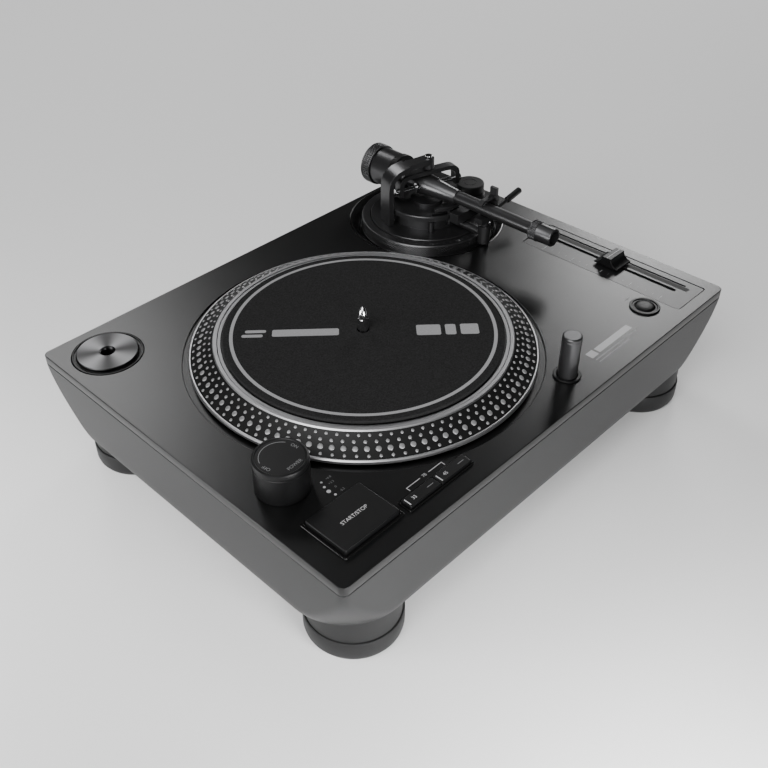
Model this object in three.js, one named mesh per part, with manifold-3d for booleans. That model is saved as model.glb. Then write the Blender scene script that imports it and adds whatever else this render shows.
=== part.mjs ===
// A direct-drive record player for small records, in millimetres, +Z up.
// The origin is on the floor under the middle of the whole object: +X is the
// player's right, +Y its back. The tonearm lies in its rest, pointing forward.
import * as THREE from "three";
import { mergeVertices } from "three/addons/utils/BufferGeometryUtils.js";
import Module from "manifold-3d";

const wasm = await Module();
wasm.setup();

// ---------------------------------------------------------------- dimensions

const GAP = 0.3; // clearance between two pieces that seat on or slide in each other
const RUN = 0.4; // radial clearance round anything that turns
const THROUGH = 1; // how far a cutting tool runs past the surface it opens

// Driving sizes of the platter, which set the deck's plan.
const PLATTER = {
  radius: 116.2,
  rimLow: 0.8, // height of the rim's lower edge over the deck
  rimHigh: 3.4,
  lip: 1.6, // polished lip outside the dotted slope
  top: 11.6, // height of the plate that carries the slipmat
  crown: 12.6, // height of the polished ring round the slipmat
  skin: 4,
  wall: 6,
  hub: 15,
};
const CROWN = { outer: 99.6, ridge: 96.6, inner: 94.2 }; // radii of the polished ring
const SLIPMAT = { radius: 93, thickness: 2.1 };
const SPINDLE = { radius: 3.575, above: 17.8, tip: 8, below: 30 };

// Free deck left and in front of the platter, and right and behind the tonearm's well.
const MARGIN = { left: 38.2, right: 7.5655, front: 22.1, rear: 3.241 };
const DECK = { rim: 6.2, skin: 3, skirt: 6, corner: 4.5 };
const PAN = { play: 4.3, step: 1.2, depth: 11, wall: 2.5, motorHole: 36 };

// Body shell under the deck, and the feet.
const PLINTH = { height: 46.5, wall: 4, corner: 41, swell: 1.6, draft: 1.2, ledge: 9, ledgeDepth: 4, bevel: 1.5 };
const BASE = { thickness: 3, boss: 11, bossHeight: 19 };
const FOOT = {
  radius: 30.6, sole: 25, round: 5, cup: 17, neck: 20, neckRadius: 29.4, fromSide: 39, fromFront: 34, bevel: 0.8,
};
const STUD = { radius: 4, length: 16 };

// Motor under the platter.
const MOTOR = { radius: 35, flange: 42, height: 21, wall: 3, bearing: 8, plate: 2.5 };
const ROTOR = { outer: 30, inner: 26, depth: 18, web: 2, hub: 12 };
const STATOR = { radius: 24, height: 9, poles: 9, slot: 2.4, core: 13 };

// Circuit boards and rear panel.
const MAIN_BOARD = { width: 96, depth: 60, thickness: 1.6, lift: 6 };
const SUPPLY = { width: 78, depth: 58, thickness: 1.6, lift: 6 };
const PANEL = { width: 104, height: 26, thickness: 2.2, lip: 3, fromRight: 108 };
const JACK = { radius: 4.2, collar: 6.6, length: 6, spacing: 17 };
const INLET = { width: 27, height: 17, depth: 14, wall: 2.4, pin: 1.15, pinSpacing: 8.6 };

// Controls on the deck. Places are distances from the deck's nearest edges.
const ADAPTOR = { left: 31, rear: 31.5, radius: 20.6, play: 0.325, above: 2, deep: 4.7, ringWidth: 3 };
const POWER = { left: 28.7, front: 78, radius: 16.3, base: 18.9, height: 23.2, spigot: 7 };
const START = { left: 37.5, front: 31, width: 41.4, depth: 31.2, top: 4.2, frame: 2.2, flange: 0.9 };
const SPEED = { left: 90.6, front: 17.2, width: 25.3, depth: 7.6, top: 2.6, frame: 1.4, flange: 0.8, between: 0.9 };
const PRESS = { travel: 1.4, deep: 6 };
const LAMP = { fromRim: 18.3193, front: 22, ringWidth: 2.8, radius: 6.3, height: 31.5, travel: 27, flange: 1.6 };
const RESET = { right: 59.5, front: 27.9, ringWidth: 4.2, radius: 6.4, top: 1.6, flange: 1.1 };
const FADER = {
  right: 28.4, front: 76.7, width: 35.4, length: 135, plate: 1.2, sink: 0.3,
  travel: 50, slot: 3.2, offset: 2.1, stem: 2.2, stemLength: 6, deep: 11, body: 12, wall: 1.8,
};
const CAP = { width: 17.9, length: 20.4, foot: 1.1, top: 8.4, ridge: 7.2 };

// Tonearm. Radii and heights are from the vertical pivot and the deck's top.
const WELL = { play: 1.3, slope: 7.8, land: 2.4, lip: 1.5, depth: 6.4, thickness: 2.4, ledge: 2 };
const ARM_BEARING = 28.2; // direction of the tonearm from the platter, degrees from +X
const RING = { radius: 52.3, top: 4.2, step: 1.2 };
const MOUNT = {
  flange: 45.2, flangeTop: 5.4, sleeve: 34.8, column: 29, columnTop: 12.4, neck: 26,
  plate: 33.4, plateLow: 14.6, plateTop: 18.6, boss: 13, bossTop: 19, hollow: 18, below: 12,
  groove: 26.4, grooveLow: 16.6,
};
const REAR_RELIEF = { radius: 20, from: 4, to: 126, low: 8 }; // room for the counterweight
const YOKE = { turn: -18, span: 23.4, thickness: 3.6, width: 7.6, top: 42.8, bar: 3.2 };
const BRACKET = { span: 34, thickness: 4.2, width: 14, top: 53, bar: 4.6, post: 4.6, postLow: 44.2 };
const PIVOT = { height: 29.5, screw: 1.8, head: 3, headLength: 2, stub: 3.2, stubEnd: 10.6 };
const TUBE = { radius: 5, cone: 9.2, coneStart: 5, coneEnd: -31, hub: 7.6, hubEnd: 17, band: 2, end: -107 };
const COLLAR = { start: -102.4, knurlWall: 2.1, knurlEnd: -108.8, wall: 1.6, end: -121.4, play: 0.2 };
const WEIGHT = {
  shaft: 4, front: 25.4, boss: 10.4, body: 14.8, bodyFront: 31.6, knurl: 16.4, knurlFront: 49.6, rear: 59,
  hub: 9.4, hubEnd: 62.8, shaftEnd: 64.6,
};
const DIAL = { wall: 4.7, front: 26, rear: 31.2 };
const SKATE = { x: 34.3, y: -15, radius: 11.4, low: 16.7, top: 24, lobe: 12.2, lobeLow: 12 };
const REST = { play: 1.4, post: 4.8, low: 1.5, high: 16, stem: 3, rod: 3.1, rodHeight: 9, saddle: 8, depth: 7 };
const CLIP = { x: 8.9, height: 37, hub: 2, bar: 1.5, reach: -7.2, tip: 35.3, handle: 44.4 };
const LIFT = {
  radius: 30, width: 3, thickness: 2.2, clear: 0.7, from: -128, to: -84, pin: -104, pinRadius: 1.5, travel: 5,
};
const LIFT_BOX = { left: -11, right: 21, front: -41.2, rear: -32.8, low: 13.6, under: 0.2 };
const CUE = { x: 16, height: 17.4, shaft: 2, rod: 1.3, reach: 36, handle: 2.6, handleFrom: 20, y: -51.6, rise: 10 };

// ------------------------------------------------------------ derived places

const ringBore = MOUNT.sleeve + RUN;
const ringLand = MOUNT.flange + RUN;
const wellFloor = RING.radius + WELL.play;
const wellRadius = wellFloor + WELL.slope;
const collarBore = TUBE.radius + COLLAR.play;
const dialBore = WEIGHT.boss + GAP;
const adaptorHole = SPINDLE.radius + ADAPTOR.play;
const adaptorRing = ADAPTOR.radius + ADAPTOR.ringWidth;
const lampRing = LAMP.radius + LAMP.ringWidth;
const resetRing = RESET.radius + RESET.ringWidth;
const armReach = PLATTER.radius + WELL.land + wellRadius;
const armAway = [
  armReach * Math.cos(THREE.MathUtils.degToRad(ARM_BEARING)),
  armReach * Math.sin(THREE.MathUtils.degToRad(ARM_BEARING)),
];
const restY = -(RING.radius + REST.play + REST.post);
const liftTop = PIVOT.height - TUBE.radius - LIFT.clear;
const liftLow = liftTop - LIFT.thickness;
const deckWidth = MARGIN.left + PLATTER.radius + armAway[0] + wellRadius + MARGIN.right;
const deckDepth = MARGIN.front + PLATTER.radius + armAway[1] + wellRadius + MARGIN.rear;
const deckTop = FOOT.cup + GAP + FOOT.neck + GAP + PLINTH.height + GAP + DECK.rim;
const plinthLow = FOOT.cup + GAP + FOOT.neck + GAP;
const plinthHigh = plinthLow + PLINTH.height;
const fromLeft = (inset) => inset - deckWidth / 2;
const fromRight = (inset) => deckWidth / 2 - inset;
const fromFront = (inset) => inset - deckDepth / 2;
const fromRear = (inset) => deckDepth / 2 - inset;
const platterAt = [fromLeft(MARGIN.left + PLATTER.radius), fromFront(MARGIN.front + PLATTER.radius)];
const armAt = [platterAt[0] + armAway[0], platterAt[1] + armAway[1]];
const panRadius = PLATTER.radius + PAN.play;

// ------------------------------------------------------------------- helpers

/** A closed geometry as a manifold solid, on positions only. */
function solid(geometry) {
  const bare = new THREE.BufferGeometry();
  const source = geometry.index ? geometry.toNonIndexed() : geometry;
  bare.setAttribute("position", source.getAttribute("position"));
  const merged = mergeVertices(bare, 1e-4);
  const index = merged.index.array;
  const kept = [];
  for (let i = 0; i < index.length; i += 3) {
    const [a, b, c] = [index[i], index[i + 1], index[i + 2]];
    if (a !== b && b !== c && a !== c) kept.push(a, b, c);
  }
  return new wasm.Manifold(
    new wasm.Mesh({
      numProp: 3,
      vertProperties: merged.attributes.position.array,
      triVerts: new Uint32Array(kept),
    }),
  );
}

const join = (first, ...rest) => rest.reduce((sum, piece) => sum.add(solid(piece)), solid(first));
const cut = (body, ...tools) => tools.reduce((left, tool) => left.subtract(solid(tool)), body);

/** A manifold solid as a flat-shaded geometry. */
function geometryOf(body) {
  const mesh = body.getMesh();
  const geometry = new THREE.BufferGeometry();
  geometry.setAttribute("position", new THREE.BufferAttribute(mesh.vertProperties, 3));
  geometry.setIndex(new THREE.BufferAttribute(mesh.triVerts, 1));
  const faceted = geometry.toNonIndexed();
  faceted.computeVertexNormals();
  return faceted;
}

/** A turned piece on the Z axis, from [radius, height] points of its closed outline. */
function turned(outline, segments) {
  const points = outline.map(([r, z]) => new THREE.Vector2(r, z));
  if (THREE.ShapeUtils.area(points) < 0) points.reverse();
  const onAxis = points.every((p, i) => (i === 0 || i === points.length - 1) === p.x < 1e-9);
  if (!onAxis) points.push(points[0].clone());
  return new THREE.LatheGeometry(points, segments).rotateX(Math.PI / 2);
}

const disc = (radius, low, high, segments = 24) =>
  turned([[0, low], [radius, low], [radius, high], [0, high]], segments);
const ring = (outer, inner, low, high, segments = 24) =>
  turned([[inner, low], [outer, low], [outer, high], [inner, high]], segments);

/** A disc whose upper edge is bevelled. */
const button = (radius, low, high, bevel, segments = 24) =>
  turned([[0, low], [radius, low], [radius, high - bevel], [radius - bevel, high], [0, high]], segments);

const block = (x0, x1, y0, y1, z0, z1) =>
  new THREE.BoxGeometry(x1 - x0, y1 - y0, z1 - z0).translate((x0 + x1) / 2, (y0 + y1) / 2, (z0 + z1) / 2);

/** A rectangle with round corners, centred on the origin. */
function roundedShape(width, depth, corner) {
  const [x, y] = [width / 2, depth / 2];
  const shape = new THREE.Shape();
  shape.moveTo(corner - x, -y).lineTo(x - corner, -y);
  shape.absarc(x - corner, corner - y, corner, -Math.PI / 2, 0);
  shape.absarc(x - corner, y - corner, corner, 0, Math.PI / 2);
  shape.absarc(corner - x, y - corner, corner, Math.PI / 2, Math.PI);
  shape.absarc(corner - x, corner - y, corner, Math.PI, 1.5 * Math.PI);
  return shape;
}

const extruded = (shape, low, high, curveSegments = 6) =>
  new THREE.ExtrudeGeometry(shape, { depth: high - low, bevelEnabled: false, curveSegments })
    .translate(0, 0, low);
const slab = (width, depth, corner, low, high) =>
  extruded(roundedShape(width, depth, corner), low, high, 3);

/** A shape drawn in X and Z, carried across Y from y0 to y1. */
const across = (shape, y0, y1) => extruded(shape, -y1, -y0, 6).rotateX(Math.PI / 2);

/** A rod along Y from y0 to y1 at x and height z. */
const rodY = (radius, y0, y1, x, z, segments = 16) =>
  disc(radius, y0, y1, segments).rotateX(-Math.PI / 2).translate(x, 0, z);

/** Outline of a rounded rectangle with n points at each corner. */
function roundedLoop(width, depth, corner, n) {
  const loop = [];
  const centres = [[1, -1], [1, 1], [-1, 1], [-1, -1]];
  centres.forEach(([sx, sy], quarter) => {
    for (let i = 0; i <= n; i++) {
      const angle = ((quarter - 1) * Math.PI) / 2 + (i * Math.PI) / (2 * n);
      const x = sx * (width / 2 - corner) + corner * Math.cos(angle);
      const y = sy * (depth / 2 - corner) + corner * Math.sin(angle);
      loop.push([x, y]);
    }
  });
  return loop;
}

/** A closed tube through loops of equal length: outer loops upward, inner loops downward. */
function lofted(loops) {
  const count = loops[0].points.length;
  const positions = loops.flatMap(({ points, z }) => points.flatMap(([x, y]) => [x, y, z]));
  const index = [];
  loops.forEach((_, level) => {
    const here = level * count;
    const next = ((level + 1) % loops.length) * count;
    for (let i = 0; i < count; i++) {
      const j = (i + 1) % count;
      index.push(here + i, here + j, next + j, here + i, next + j, next + i);
    }
  });
  const geometry = new THREE.BufferGeometry();
  geometry.setAttribute("position", new THREE.Float32BufferAttribute(positions, 3));
  geometry.setIndex(index);
  return geometry;
}

// ----------------------------------------------------------------- materials

const finish = (color, roughness, metalness) =>
  new THREE.MeshStandardMaterial({ color, roughness, metalness });
const satinBlack = finish(0x1b1b1c, 0.42, 0.35);
const glossBlack = finish(0x0c0c0d, 0.2, 0.2);
const armBlack = finish(0x171718, 0.28, 0.6);
const plasticBlack = finish(0x151516, 0.45, 0);
const greyPlastic = finish(0x3a3a3c, 0.5, 0);
const castAluminium = finish(0x8f9092, 0.35, 1);
const chrome = finish(0xd8d8da, 0.08, 1);
const steel = finish(0xa9aaac, 0.3, 1);
const felt = finish(0x262626, 0.95, 0);
const rubber = finish(0x222223, 0.8, 0);
const circuit = finish(0x1d5a36, 0.6, 0);
const copper = finish(0xb06a3a, 0.4, 0.9);
const ferrite = finish(0x2c2c2e, 0.7, 0.2);
const gold = finish(0xc9a24a, 0.3, 1);

// -------------------------------------------------------------------- groups

const root = new THREE.Group();
const deck = new THREE.Group();
deck.position.z = deckTop;
root.add(deck);

/** A group standing on the deck at a place in plan. */
function station([x, y]) {
  const group = new THREE.Group();
  group.position.set(x, y, 0);
  deck.add(group);
  return group;
}

/** Adds one piece, a geometry or a solid, to a group. */
function piece(parent, name, body, material) {
  const geometry = body.isBufferGeometry ? body : geometryOf(body);
  const mesh = new THREE.Mesh(geometry, material);
  mesh.name = name;
  parent.add(mesh);
}

const radians = THREE.MathUtils.degToRad;
const startAt = [fromLeft(START.left), fromFront(START.front)];
const speedAt = [fromLeft(SPEED.left), fromFront(SPEED.front)];
const powerAt = [fromLeft(POWER.left), fromFront(POWER.front)];
const adaptorAt = [fromLeft(ADAPTOR.left), fromRear(ADAPTOR.rear)];
const lampDown = platterAt[1] - fromFront(LAMP.front);
const lampAt = [
  platterAt[0] + Math.sqrt((PLATTER.radius + LAMP.fromRim) ** 2 - lampDown ** 2), fromFront(LAMP.front),
];
const resetAt = [fromRight(RESET.right), fromFront(RESET.front)];
const faderAt = [fromRight(FADER.right), fromFront(FADER.front)];
const faderSlot = 2 * (FADER.travel + GAP) + FADER.stemLength;

// ------------------------------------------------------------------ top plate

/** The deck skin with its skirt, the pan under the platter and every control's hole. */
function topPlate() {
  const [px, py] = platterAt;
  const hole = (at, radius, low = -DECK.rim - THROUGH) => disc(radius, low, THROUGH, 28).translate(at[0], at[1], 0);
  const window = (at, width, depth) =>
    slab(width, depth, 1, -DECK.rim - THROUGH, THROUGH).translate(at[0], at[1], 0);
  const skirt = cut(
    solid(slab(deckWidth, deckDepth, DECK.corner, -DECK.rim, -DECK.skin + GAP)),
    slab(deckWidth - 2 * DECK.skirt, deckDepth - 2 * DECK.skirt, 1, -DECK.rim - THROUGH, THROUGH),
  );
  const panOuter = panRadius - PAN.play + PAN.wall;
  const body = solid(slab(deckWidth, deckDepth, DECK.corner, -DECK.skin, 0))
    .add(skirt)
    .add(solid(disc(panOuter, -PAN.depth - PAN.wall, -DECK.skin + GAP, 40).translate(px, py, 0)))
    .add(solid(disc(adaptorRing + 2, -ADAPTOR.deep - 3, -GAP, 28).translate(...adaptorAt, 0)));
  const faderPocket = slab(FADER.width + 2 * GAP, FADER.length + 2 * GAP, 2, -FADER.sink - FADER.plate - GAP, THROUGH);
  return cut(
    body,
    disc(panRadius, -PAN.step, THROUGH, 40).translate(px, py, 0),
    disc(panOuter - PAN.wall, -PAN.depth, THROUGH, 40).translate(px, py, 0),
    disc(PAN.motorHole, -PAN.depth - PAN.wall - THROUGH, 0, 24).translate(px, py, 0),
    disc(adaptorRing + GAP, -ADAPTOR.deep - GAP, THROUGH, 28).translate(...adaptorAt, 0),
    disc(wellRadius - WELL.ledge, -DECK.rim - THROUGH, THROUGH, 36).translate(...armAt, 0),
    disc(wellRadius, -WELL.ledge, THROUGH, 36).translate(...armAt, 0),
    hole(powerAt, POWER.spigot + GAP),
    hole(lampAt, lampRing - LAMP.flange),
    hole(resetAt, resetRing - RESET.flange),
    window(startAt, START.width + 2 * START.frame - 2, START.depth + 2 * START.frame - 2),
    window(speedAt, 2 * SPEED.width + SPEED.between + 2 * SPEED.frame - 1, SPEED.depth + 2 * SPEED.frame - 1),
    faderPocket.translate(...faderAt, 0),
    slab(FADER.slot + 4, faderSlot + 4, 1, -DECK.rim, 0).translate(faderAt[0] + FADER.offset, faderAt[1], 0),
  );
}
piece(deck, "top_plate", topPlate(), satinBlack);

// --------------------------------------------------------------------- plinth

/** Corner radius of the body at a share t of the way down: sharp above, round below. */
const cornerAt = (t) => DECK.corner + (PLINTH.corner - DECK.corner) * t ** PLINTH.swell;

/** Loops of the plinth's wall, set in by a wall thickness. */
function plinthLoop(t, inset, z) {
  const shrink = 2 * (inset + PLINTH.draft * t);
  const corner = Math.max(cornerAt(t) - inset, 1);
  return { points: roundedLoop(deckWidth - shrink, deckDepth - shrink, corner, 5), z };
}

const PANEL_X = () => fromRight(PANEL.fromRight);
const panelHeight = plinthLow + PLINTH.height / 2 - 3;

function plinth() {
  const levels = 3;
  const outer = [plinthLoop(1, PLINTH.bevel, plinthLow)];
  for (let i = 0; i <= levels; i++) {
    const t = 1 - i / levels;
    const rise = i === 0 ? PLINTH.bevel : (PLINTH.height * i) / levels;
    outer.push(plinthLoop(t, 0, plinthLow + rise));
  }
  const inner = [
    plinthLoop(0, PLINTH.wall, plinthHigh),
    plinthLoop(0.5, PLINTH.wall, plinthLow + PLINTH.height / 2),
    plinthLoop(1, PLINTH.wall, plinthLow),
  ];
  const shell = solid(lofted([...outer, ...inner]));
  const ledge = cut(
    solid(slab(deckWidth - PLINTH.wall, deckDepth - PLINTH.wall, 2, plinthHigh - PLINTH.ledgeDepth, plinthHigh)),
    slab(
      deckWidth - 2 * (PLINTH.wall + PLINTH.ledge), deckDepth - 2 * (PLINTH.wall + PLINTH.ledge),
      10, plinthHigh - PLINTH.ledgeDepth - THROUGH, plinthHigh + THROUGH,
    ),
  );
  const opening = block(
    PANEL_X() - PANEL.width / 2 - GAP, PANEL_X() + PANEL.width / 2 + GAP,
    deckDepth / 2 - 3 * PLINTH.wall, deckDepth / 2 + THROUGH,
    panelHeight - PANEL.height / 2 - GAP, panelHeight + PANEL.height / 2 + GAP,
  );
  const relief = (at, radius) =>
    disc(radius, plinthHigh - PLINTH.ledgeDepth - THROUGH, plinthHigh + THROUGH, 28).translate(at[0], at[1], 0);
  return cut(
    shell.add(ledge), opening,
    relief(armAt, wellRadius - WELL.ledge + GAP), relief(adaptorAt, adaptorRing + 2 + GAP),
  );
}
piece(root, "plinth", plinth(), satinBlack);

// ---------------------------------------------------------- base cover, feet

const footPlaces = [];
for (const [side, sx] of [["left", -1], ["right", 1]]) {
  for (const [end, sy] of [["front", -1], ["rear", 1]]) {
    const x = sx * (deckWidth / 2 - FOOT.fromSide);
    const y = sy * (deckDepth / 2 - FOOT.fromFront);
    footPlaces.push({ name: `${end}_${side}`, x, y });
  }
}

function baseCover() {
  const inset = 2 * (PLINTH.wall + PLINTH.draft + 3 * GAP);
  const low = plinthLow + GAP;
  const high = low + BASE.thickness;
  const corner = PLINTH.corner - PLINTH.wall - GAP;
  const plate = extruded(roundedShape(deckWidth - inset, deckDepth - inset, corner), low, high, 8);
  const bosses = footPlaces.map(({ x, y }) => disc(BASE.boss, low, low + BASE.bossHeight, 16).translate(x, y, 0));
  const holes = footPlaces.map(({ x, y }) =>
    disc(STUD.radius + RUN, low - THROUGH, low + BASE.bossHeight + THROUGH, 16).translate(x, y, 0));
  return cut(join(plate, ...bosses), ...holes);
}
piece(root, "base_cover", baseCover(), plasticBlack);

for (const { name, x, y } of footPlaces) {
  const cup = turned([
    [0, 0], [FOOT.sole, 0], [FOOT.radius, FOOT.round], [FOOT.radius, FOOT.cup - FOOT.bevel],
    [FOOT.radius - FOOT.bevel, FOOT.cup], [0, FOOT.cup],
  ], 24);
  const neckLow = FOOT.cup + GAP;
  const neckHigh = neckLow + FOOT.neck;
  const stem = turned([
    [0, neckLow], [FOOT.neckRadius, neckLow], [FOOT.neckRadius, neckHigh], [STUD.radius, neckHigh],
    [STUD.radius, neckHigh + STUD.length], [0, neckHigh + STUD.length],
  ], 16);
  piece(root, `foot_cup_${name}`, cup.translate(x, y, 0), rubber);
  piece(root, `foot_stem_${name}`, stem.translate(x, y, 0), rubber);
}

// --------------------------------------------------------- platter and motor

const platterGroup = station(platterAt);
const bore = SPINDLE.radius + GAP;
const slipmatLow = PLATTER.top + GAP;
const slipmatTop = slipmatLow + SLIPMAT.thickness;
const hubLow = -PAN.depth + 4;
const rotorTop = hubLow - GAP;

function platter() {
  const { radius, rimLow, rimHigh, lip, top, crown, skin, wall, hub } = PLATTER;
  return turned([
    [bore, top], [CROWN.inner, top], [CROWN.inner, crown - 0.5], [CROWN.ridge - 0.4, crown - 0.5],
    [CROWN.ridge, crown], [CROWN.outer - 1, crown], [CROWN.outer, crown - 0.8], [radius - lip, rimHigh],
    [radius - 0.4, rimHigh], [radius, rimHigh - 0.4], [radius, rimLow], [radius - wall, rimLow],
    [CROWN.outer - wall, top - skin], [hub, top - skin], [hub, hubLow], [bore, hubLow],
  ], 40);
}
piece(platterGroup, "platter", platter(), castAluminium);

piece(platterGroup, "slipmat", ring(SLIPMAT.radius, bore + 0.2, slipmatLow, slipmatTop, 40), felt);

/** The spindle: a straight shaft, a shallow waist and a pointed head. */
function spindle() {
  const r = SPINDLE.radius;
  const top = slipmatTop + SPINDLE.above;
  const shoulder = top - SPINDLE.tip;
  return turned([
    [0, -SPINDLE.below], [r, -SPINDLE.below], [r, shoulder - 1], [r - 0.5, shoulder - 0.6], [r - 0.5, shoulder],
    [r, shoulder + 0.3], [r * 0.86, shoulder + SPINDLE.tip * 0.4], [r * 0.5, shoulder + SPINDLE.tip * 0.78],
    [r * 0.18, top], [0, top],
  ], 16);
}
piece(platterGroup, "spindle", spindle(), chrome);

const motorTop = -PAN.depth - PAN.wall - GAP;

function motorHousing() {
  const { radius, flange, height, wall, bearing, plate } = MOTOR;
  const low = motorTop - height;
  return turned([
    [bore, low], [radius, low], [radius, motorTop - plate], [flange, motorTop - plate], [flange, motorTop],
    [radius - wall, motorTop], [radius - wall, low + wall], [bearing, low + wall], [bearing, rotorTop - ROTOR.web - 2],
    [bore, rotorTop - ROTOR.web - 2],
  ], 24);
}
piece(platterGroup, "motor_housing", motorHousing(), castAluminium);

function stator() {
  const low = motorTop - MOTOR.height + MOTOR.wall + 4;
  const body = solid(ring(STATOR.radius, MOTOR.bearing + GAP, low, low + STATOR.height, 27));
  const slots = [];
  for (let i = 0; i < STATOR.poles; i++) {
    const slot = block(STATOR.core, STATOR.radius + THROUGH, -STATOR.slot / 2, STATOR.slot / 2,
      low - THROUGH, low + STATOR.height + THROUGH);
    slots.push(slot.rotateZ((2 * Math.PI * i) / STATOR.poles));
  }
  return cut(body, ...slots);
}
piece(platterGroup, "stator", stator(), copper);

const rotorRing = turned([
  [bore, rotorTop], [bore, rotorTop - ROTOR.web], [ROTOR.inner, rotorTop - ROTOR.web],
  [ROTOR.inner, rotorTop - ROTOR.depth], [ROTOR.outer, rotorTop - ROTOR.depth], [ROTOR.outer, rotorTop],
], 24);
piece(platterGroup, "rotor", rotorRing, ferrite);

// ---------------------------------------------------------- boards and panel

/** A circuit board with a few tall components, standing over the base cover. */
function board({ width, depth, thickness, lift }, parts) {
  const low = plinthLow + GAP + BASE.thickness + lift;
  const high = low + thickness;
  const pillars = [[-1, -1], [1, -1], [1, 1], [-1, 1]].map(([sx, sy]) =>
    disc(3, low - lift + GAP, low + 0.2, 12).translate(sx * (width / 2 - 5), sy * (depth / 2 - 5), 0));
  const tall = parts.map(([x, y, w, d, h]) => block(x - w / 2, x + w / 2, y - d / 2, y + d / 2, high - 0.2, high + h));
  return join(block(-width / 2, width / 2, -depth / 2, depth / 2, low, high), ...pillars, ...tall);
}
const boards = new THREE.Group();
root.add(boards);
const mainParts = [[-24, 8, 14, 14, 3], [10, 10, 10, 18, 2.4], [30, -14, 12, 8, 7], [-8, -18, 20, 6, 5]];
const supplyParts = [[-20, 4, 24, 28, 16], [12, 12, 12, 12, 14], [24, -12, 8, 20, 10]];
const mainMesh = new THREE.Group();
mainMesh.position.set(fromRight(101), fromFront(52), 0);
const supplyMesh = new THREE.Group();
supplyMesh.position.set(fromLeft(91), fromRear(68), 0);
boards.add(mainMesh, supplyMesh);
piece(mainMesh, "main_board", board(MAIN_BOARD, mainParts), circuit);
piece(supplyMesh, "power_supply", board(SUPPLY, supplyParts), circuit);

const rear = new THREE.Group();
rear.position.set(PANEL_X(), deckDepth / 2 - PLINTH.draft, panelHeight);
root.add(rear);
const panelFace = -0.6; // the panel lies this far inside the wall's face
const panelBack = panelFace - PANEL.thickness;
const inletX = PANEL.width / 2 - INLET.width / 2 - 8;
const jackX = [-PANEL.width / 2 + 30, -PANEL.width / 2 + 30 + JACK.spacing];
const groundX = -PANEL.width / 2 + 11;

function rearPanel() {
  const plate = block(-PANEL.width / 2, PANEL.width / 2, panelBack, panelFace, -PANEL.height / 2, PANEL.height / 2);
  const holes = [...jackX, groundX].map((x) => rodY(JACK.radius + GAP, panelBack - THROUGH, THROUGH, x, 0, 14));
  const inlet = block(
    inletX - INLET.width / 2 - GAP, inletX + INLET.width / 2 + GAP, panelBack - THROUGH, THROUGH,
    -INLET.height / 2 - GAP, INLET.height / 2 + GAP,
  );
  return cut(solid(plate), ...holes, inlet);
}
piece(rear, "rear_panel", rearPanel(), plasticBlack);

/** A phono socket: a barrel through the panel, with a collar and a tapered mouth. */
function phonoSocket(x) {
  const tip = panelFace + JACK.length;
  return turned([
    [0, panelBack - 8], [JACK.radius, panelBack - 8], [JACK.radius, panelFace + GAP], [JACK.collar, panelFace + GAP],
    [JACK.collar, panelFace + 1.6], [JACK.radius, panelFace + 1.6], [JACK.radius, tip], [1.7, tip], [1.7, tip - 5],
    [0, tip - 5],
  ], 14).rotateX(-Math.PI / 2).translate(x, 0, 0);
}
piece(rear, "phono_socket_left", phonoSocket(jackX[0]), gold);
piece(rear, "phono_socket_right", phonoSocket(jackX[1]), gold);

const groundPost = turned([
  [0, panelBack - 6], [2, panelBack - 6], [2, panelFace + GAP], [5, panelFace + GAP], [5, panelFace + 4.4],
  [2, panelFace + 4.4], [2, panelFace + 6], [0, panelFace + 6],
], 14);
piece(rear, "ground_terminal", groundPost.rotateX(-Math.PI / 2).translate(groundX, 0, 0), steel);

function mainsInlet() {
  const { width, height, depth, wall, pin, pinSpacing } = INLET;
  const front = panelFace + GAP;
  const shell = block(-width / 2, width / 2, front - depth, front, -height / 2, height / 2);
  const hollow = block(
    -width / 2 + wall, width / 2 - wall, front - depth + wall, front + THROUGH, -height / 2 + wall, height / 2 - wall,
  );
  const body = cut(solid(shell), hollow);
  const pins = [-1, 1].map((s) => rodY(pin, front - depth + 1, front - 2, (s * pinSpacing) / 2, 0, 12));
  return pins.reduce((sum, p) => sum.add(solid(p)), body);
}
const inletGroup = new THREE.Group();
inletGroup.position.x = inletX;
rear.add(inletGroup);
piece(inletGroup, "mains_inlet", mainsInlet(), plasticBlack);

// ------------------------------------------------------------- deck controls

const adaptorGroup = station(adaptorAt);
const adaptorPuck = turned([
  [adaptorHole, -ADAPTOR.deep], [ADAPTOR.radius, -ADAPTOR.deep], [ADAPTOR.radius, ADAPTOR.above - 0.6],
  [ADAPTOR.radius - 0.6, ADAPTOR.above], [adaptorHole + 2.4, ADAPTOR.above],
  [adaptorHole, ADAPTOR.above - 1.6],
], 28);
piece(adaptorGroup, "adaptor_45", adaptorPuck, steel);
piece(adaptorGroup, "adaptor_ring", ring(adaptorRing, ADAPTOR.radius + RUN, -ADAPTOR.deep, GAP, 28), glossBlack);

const powerGroup = station(powerAt);
const housing = turned([
  [0, -9], [POWER.spigot, -9], [POWER.spigot, GAP], [POWER.radius, GAP], [POWER.radius, POWER.base], [0, POWER.base],
], 28);
piece(powerGroup, "strobe_housing", housing, plasticBlack);
const knobLow = POWER.base + GAP;
const knob = cut(
  solid(button(POWER.radius, knobLow, POWER.height, 0.8, 28)),
  block(POWER.radius - 2.2, POWER.radius + THROUGH, -POWER.radius, POWER.radius, knobLow - THROUGH, POWER.height + THROUGH)
    .rotateZ(radians(-150)),
);
piece(powerGroup, "power_knob", knob, plasticBlack);

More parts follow.
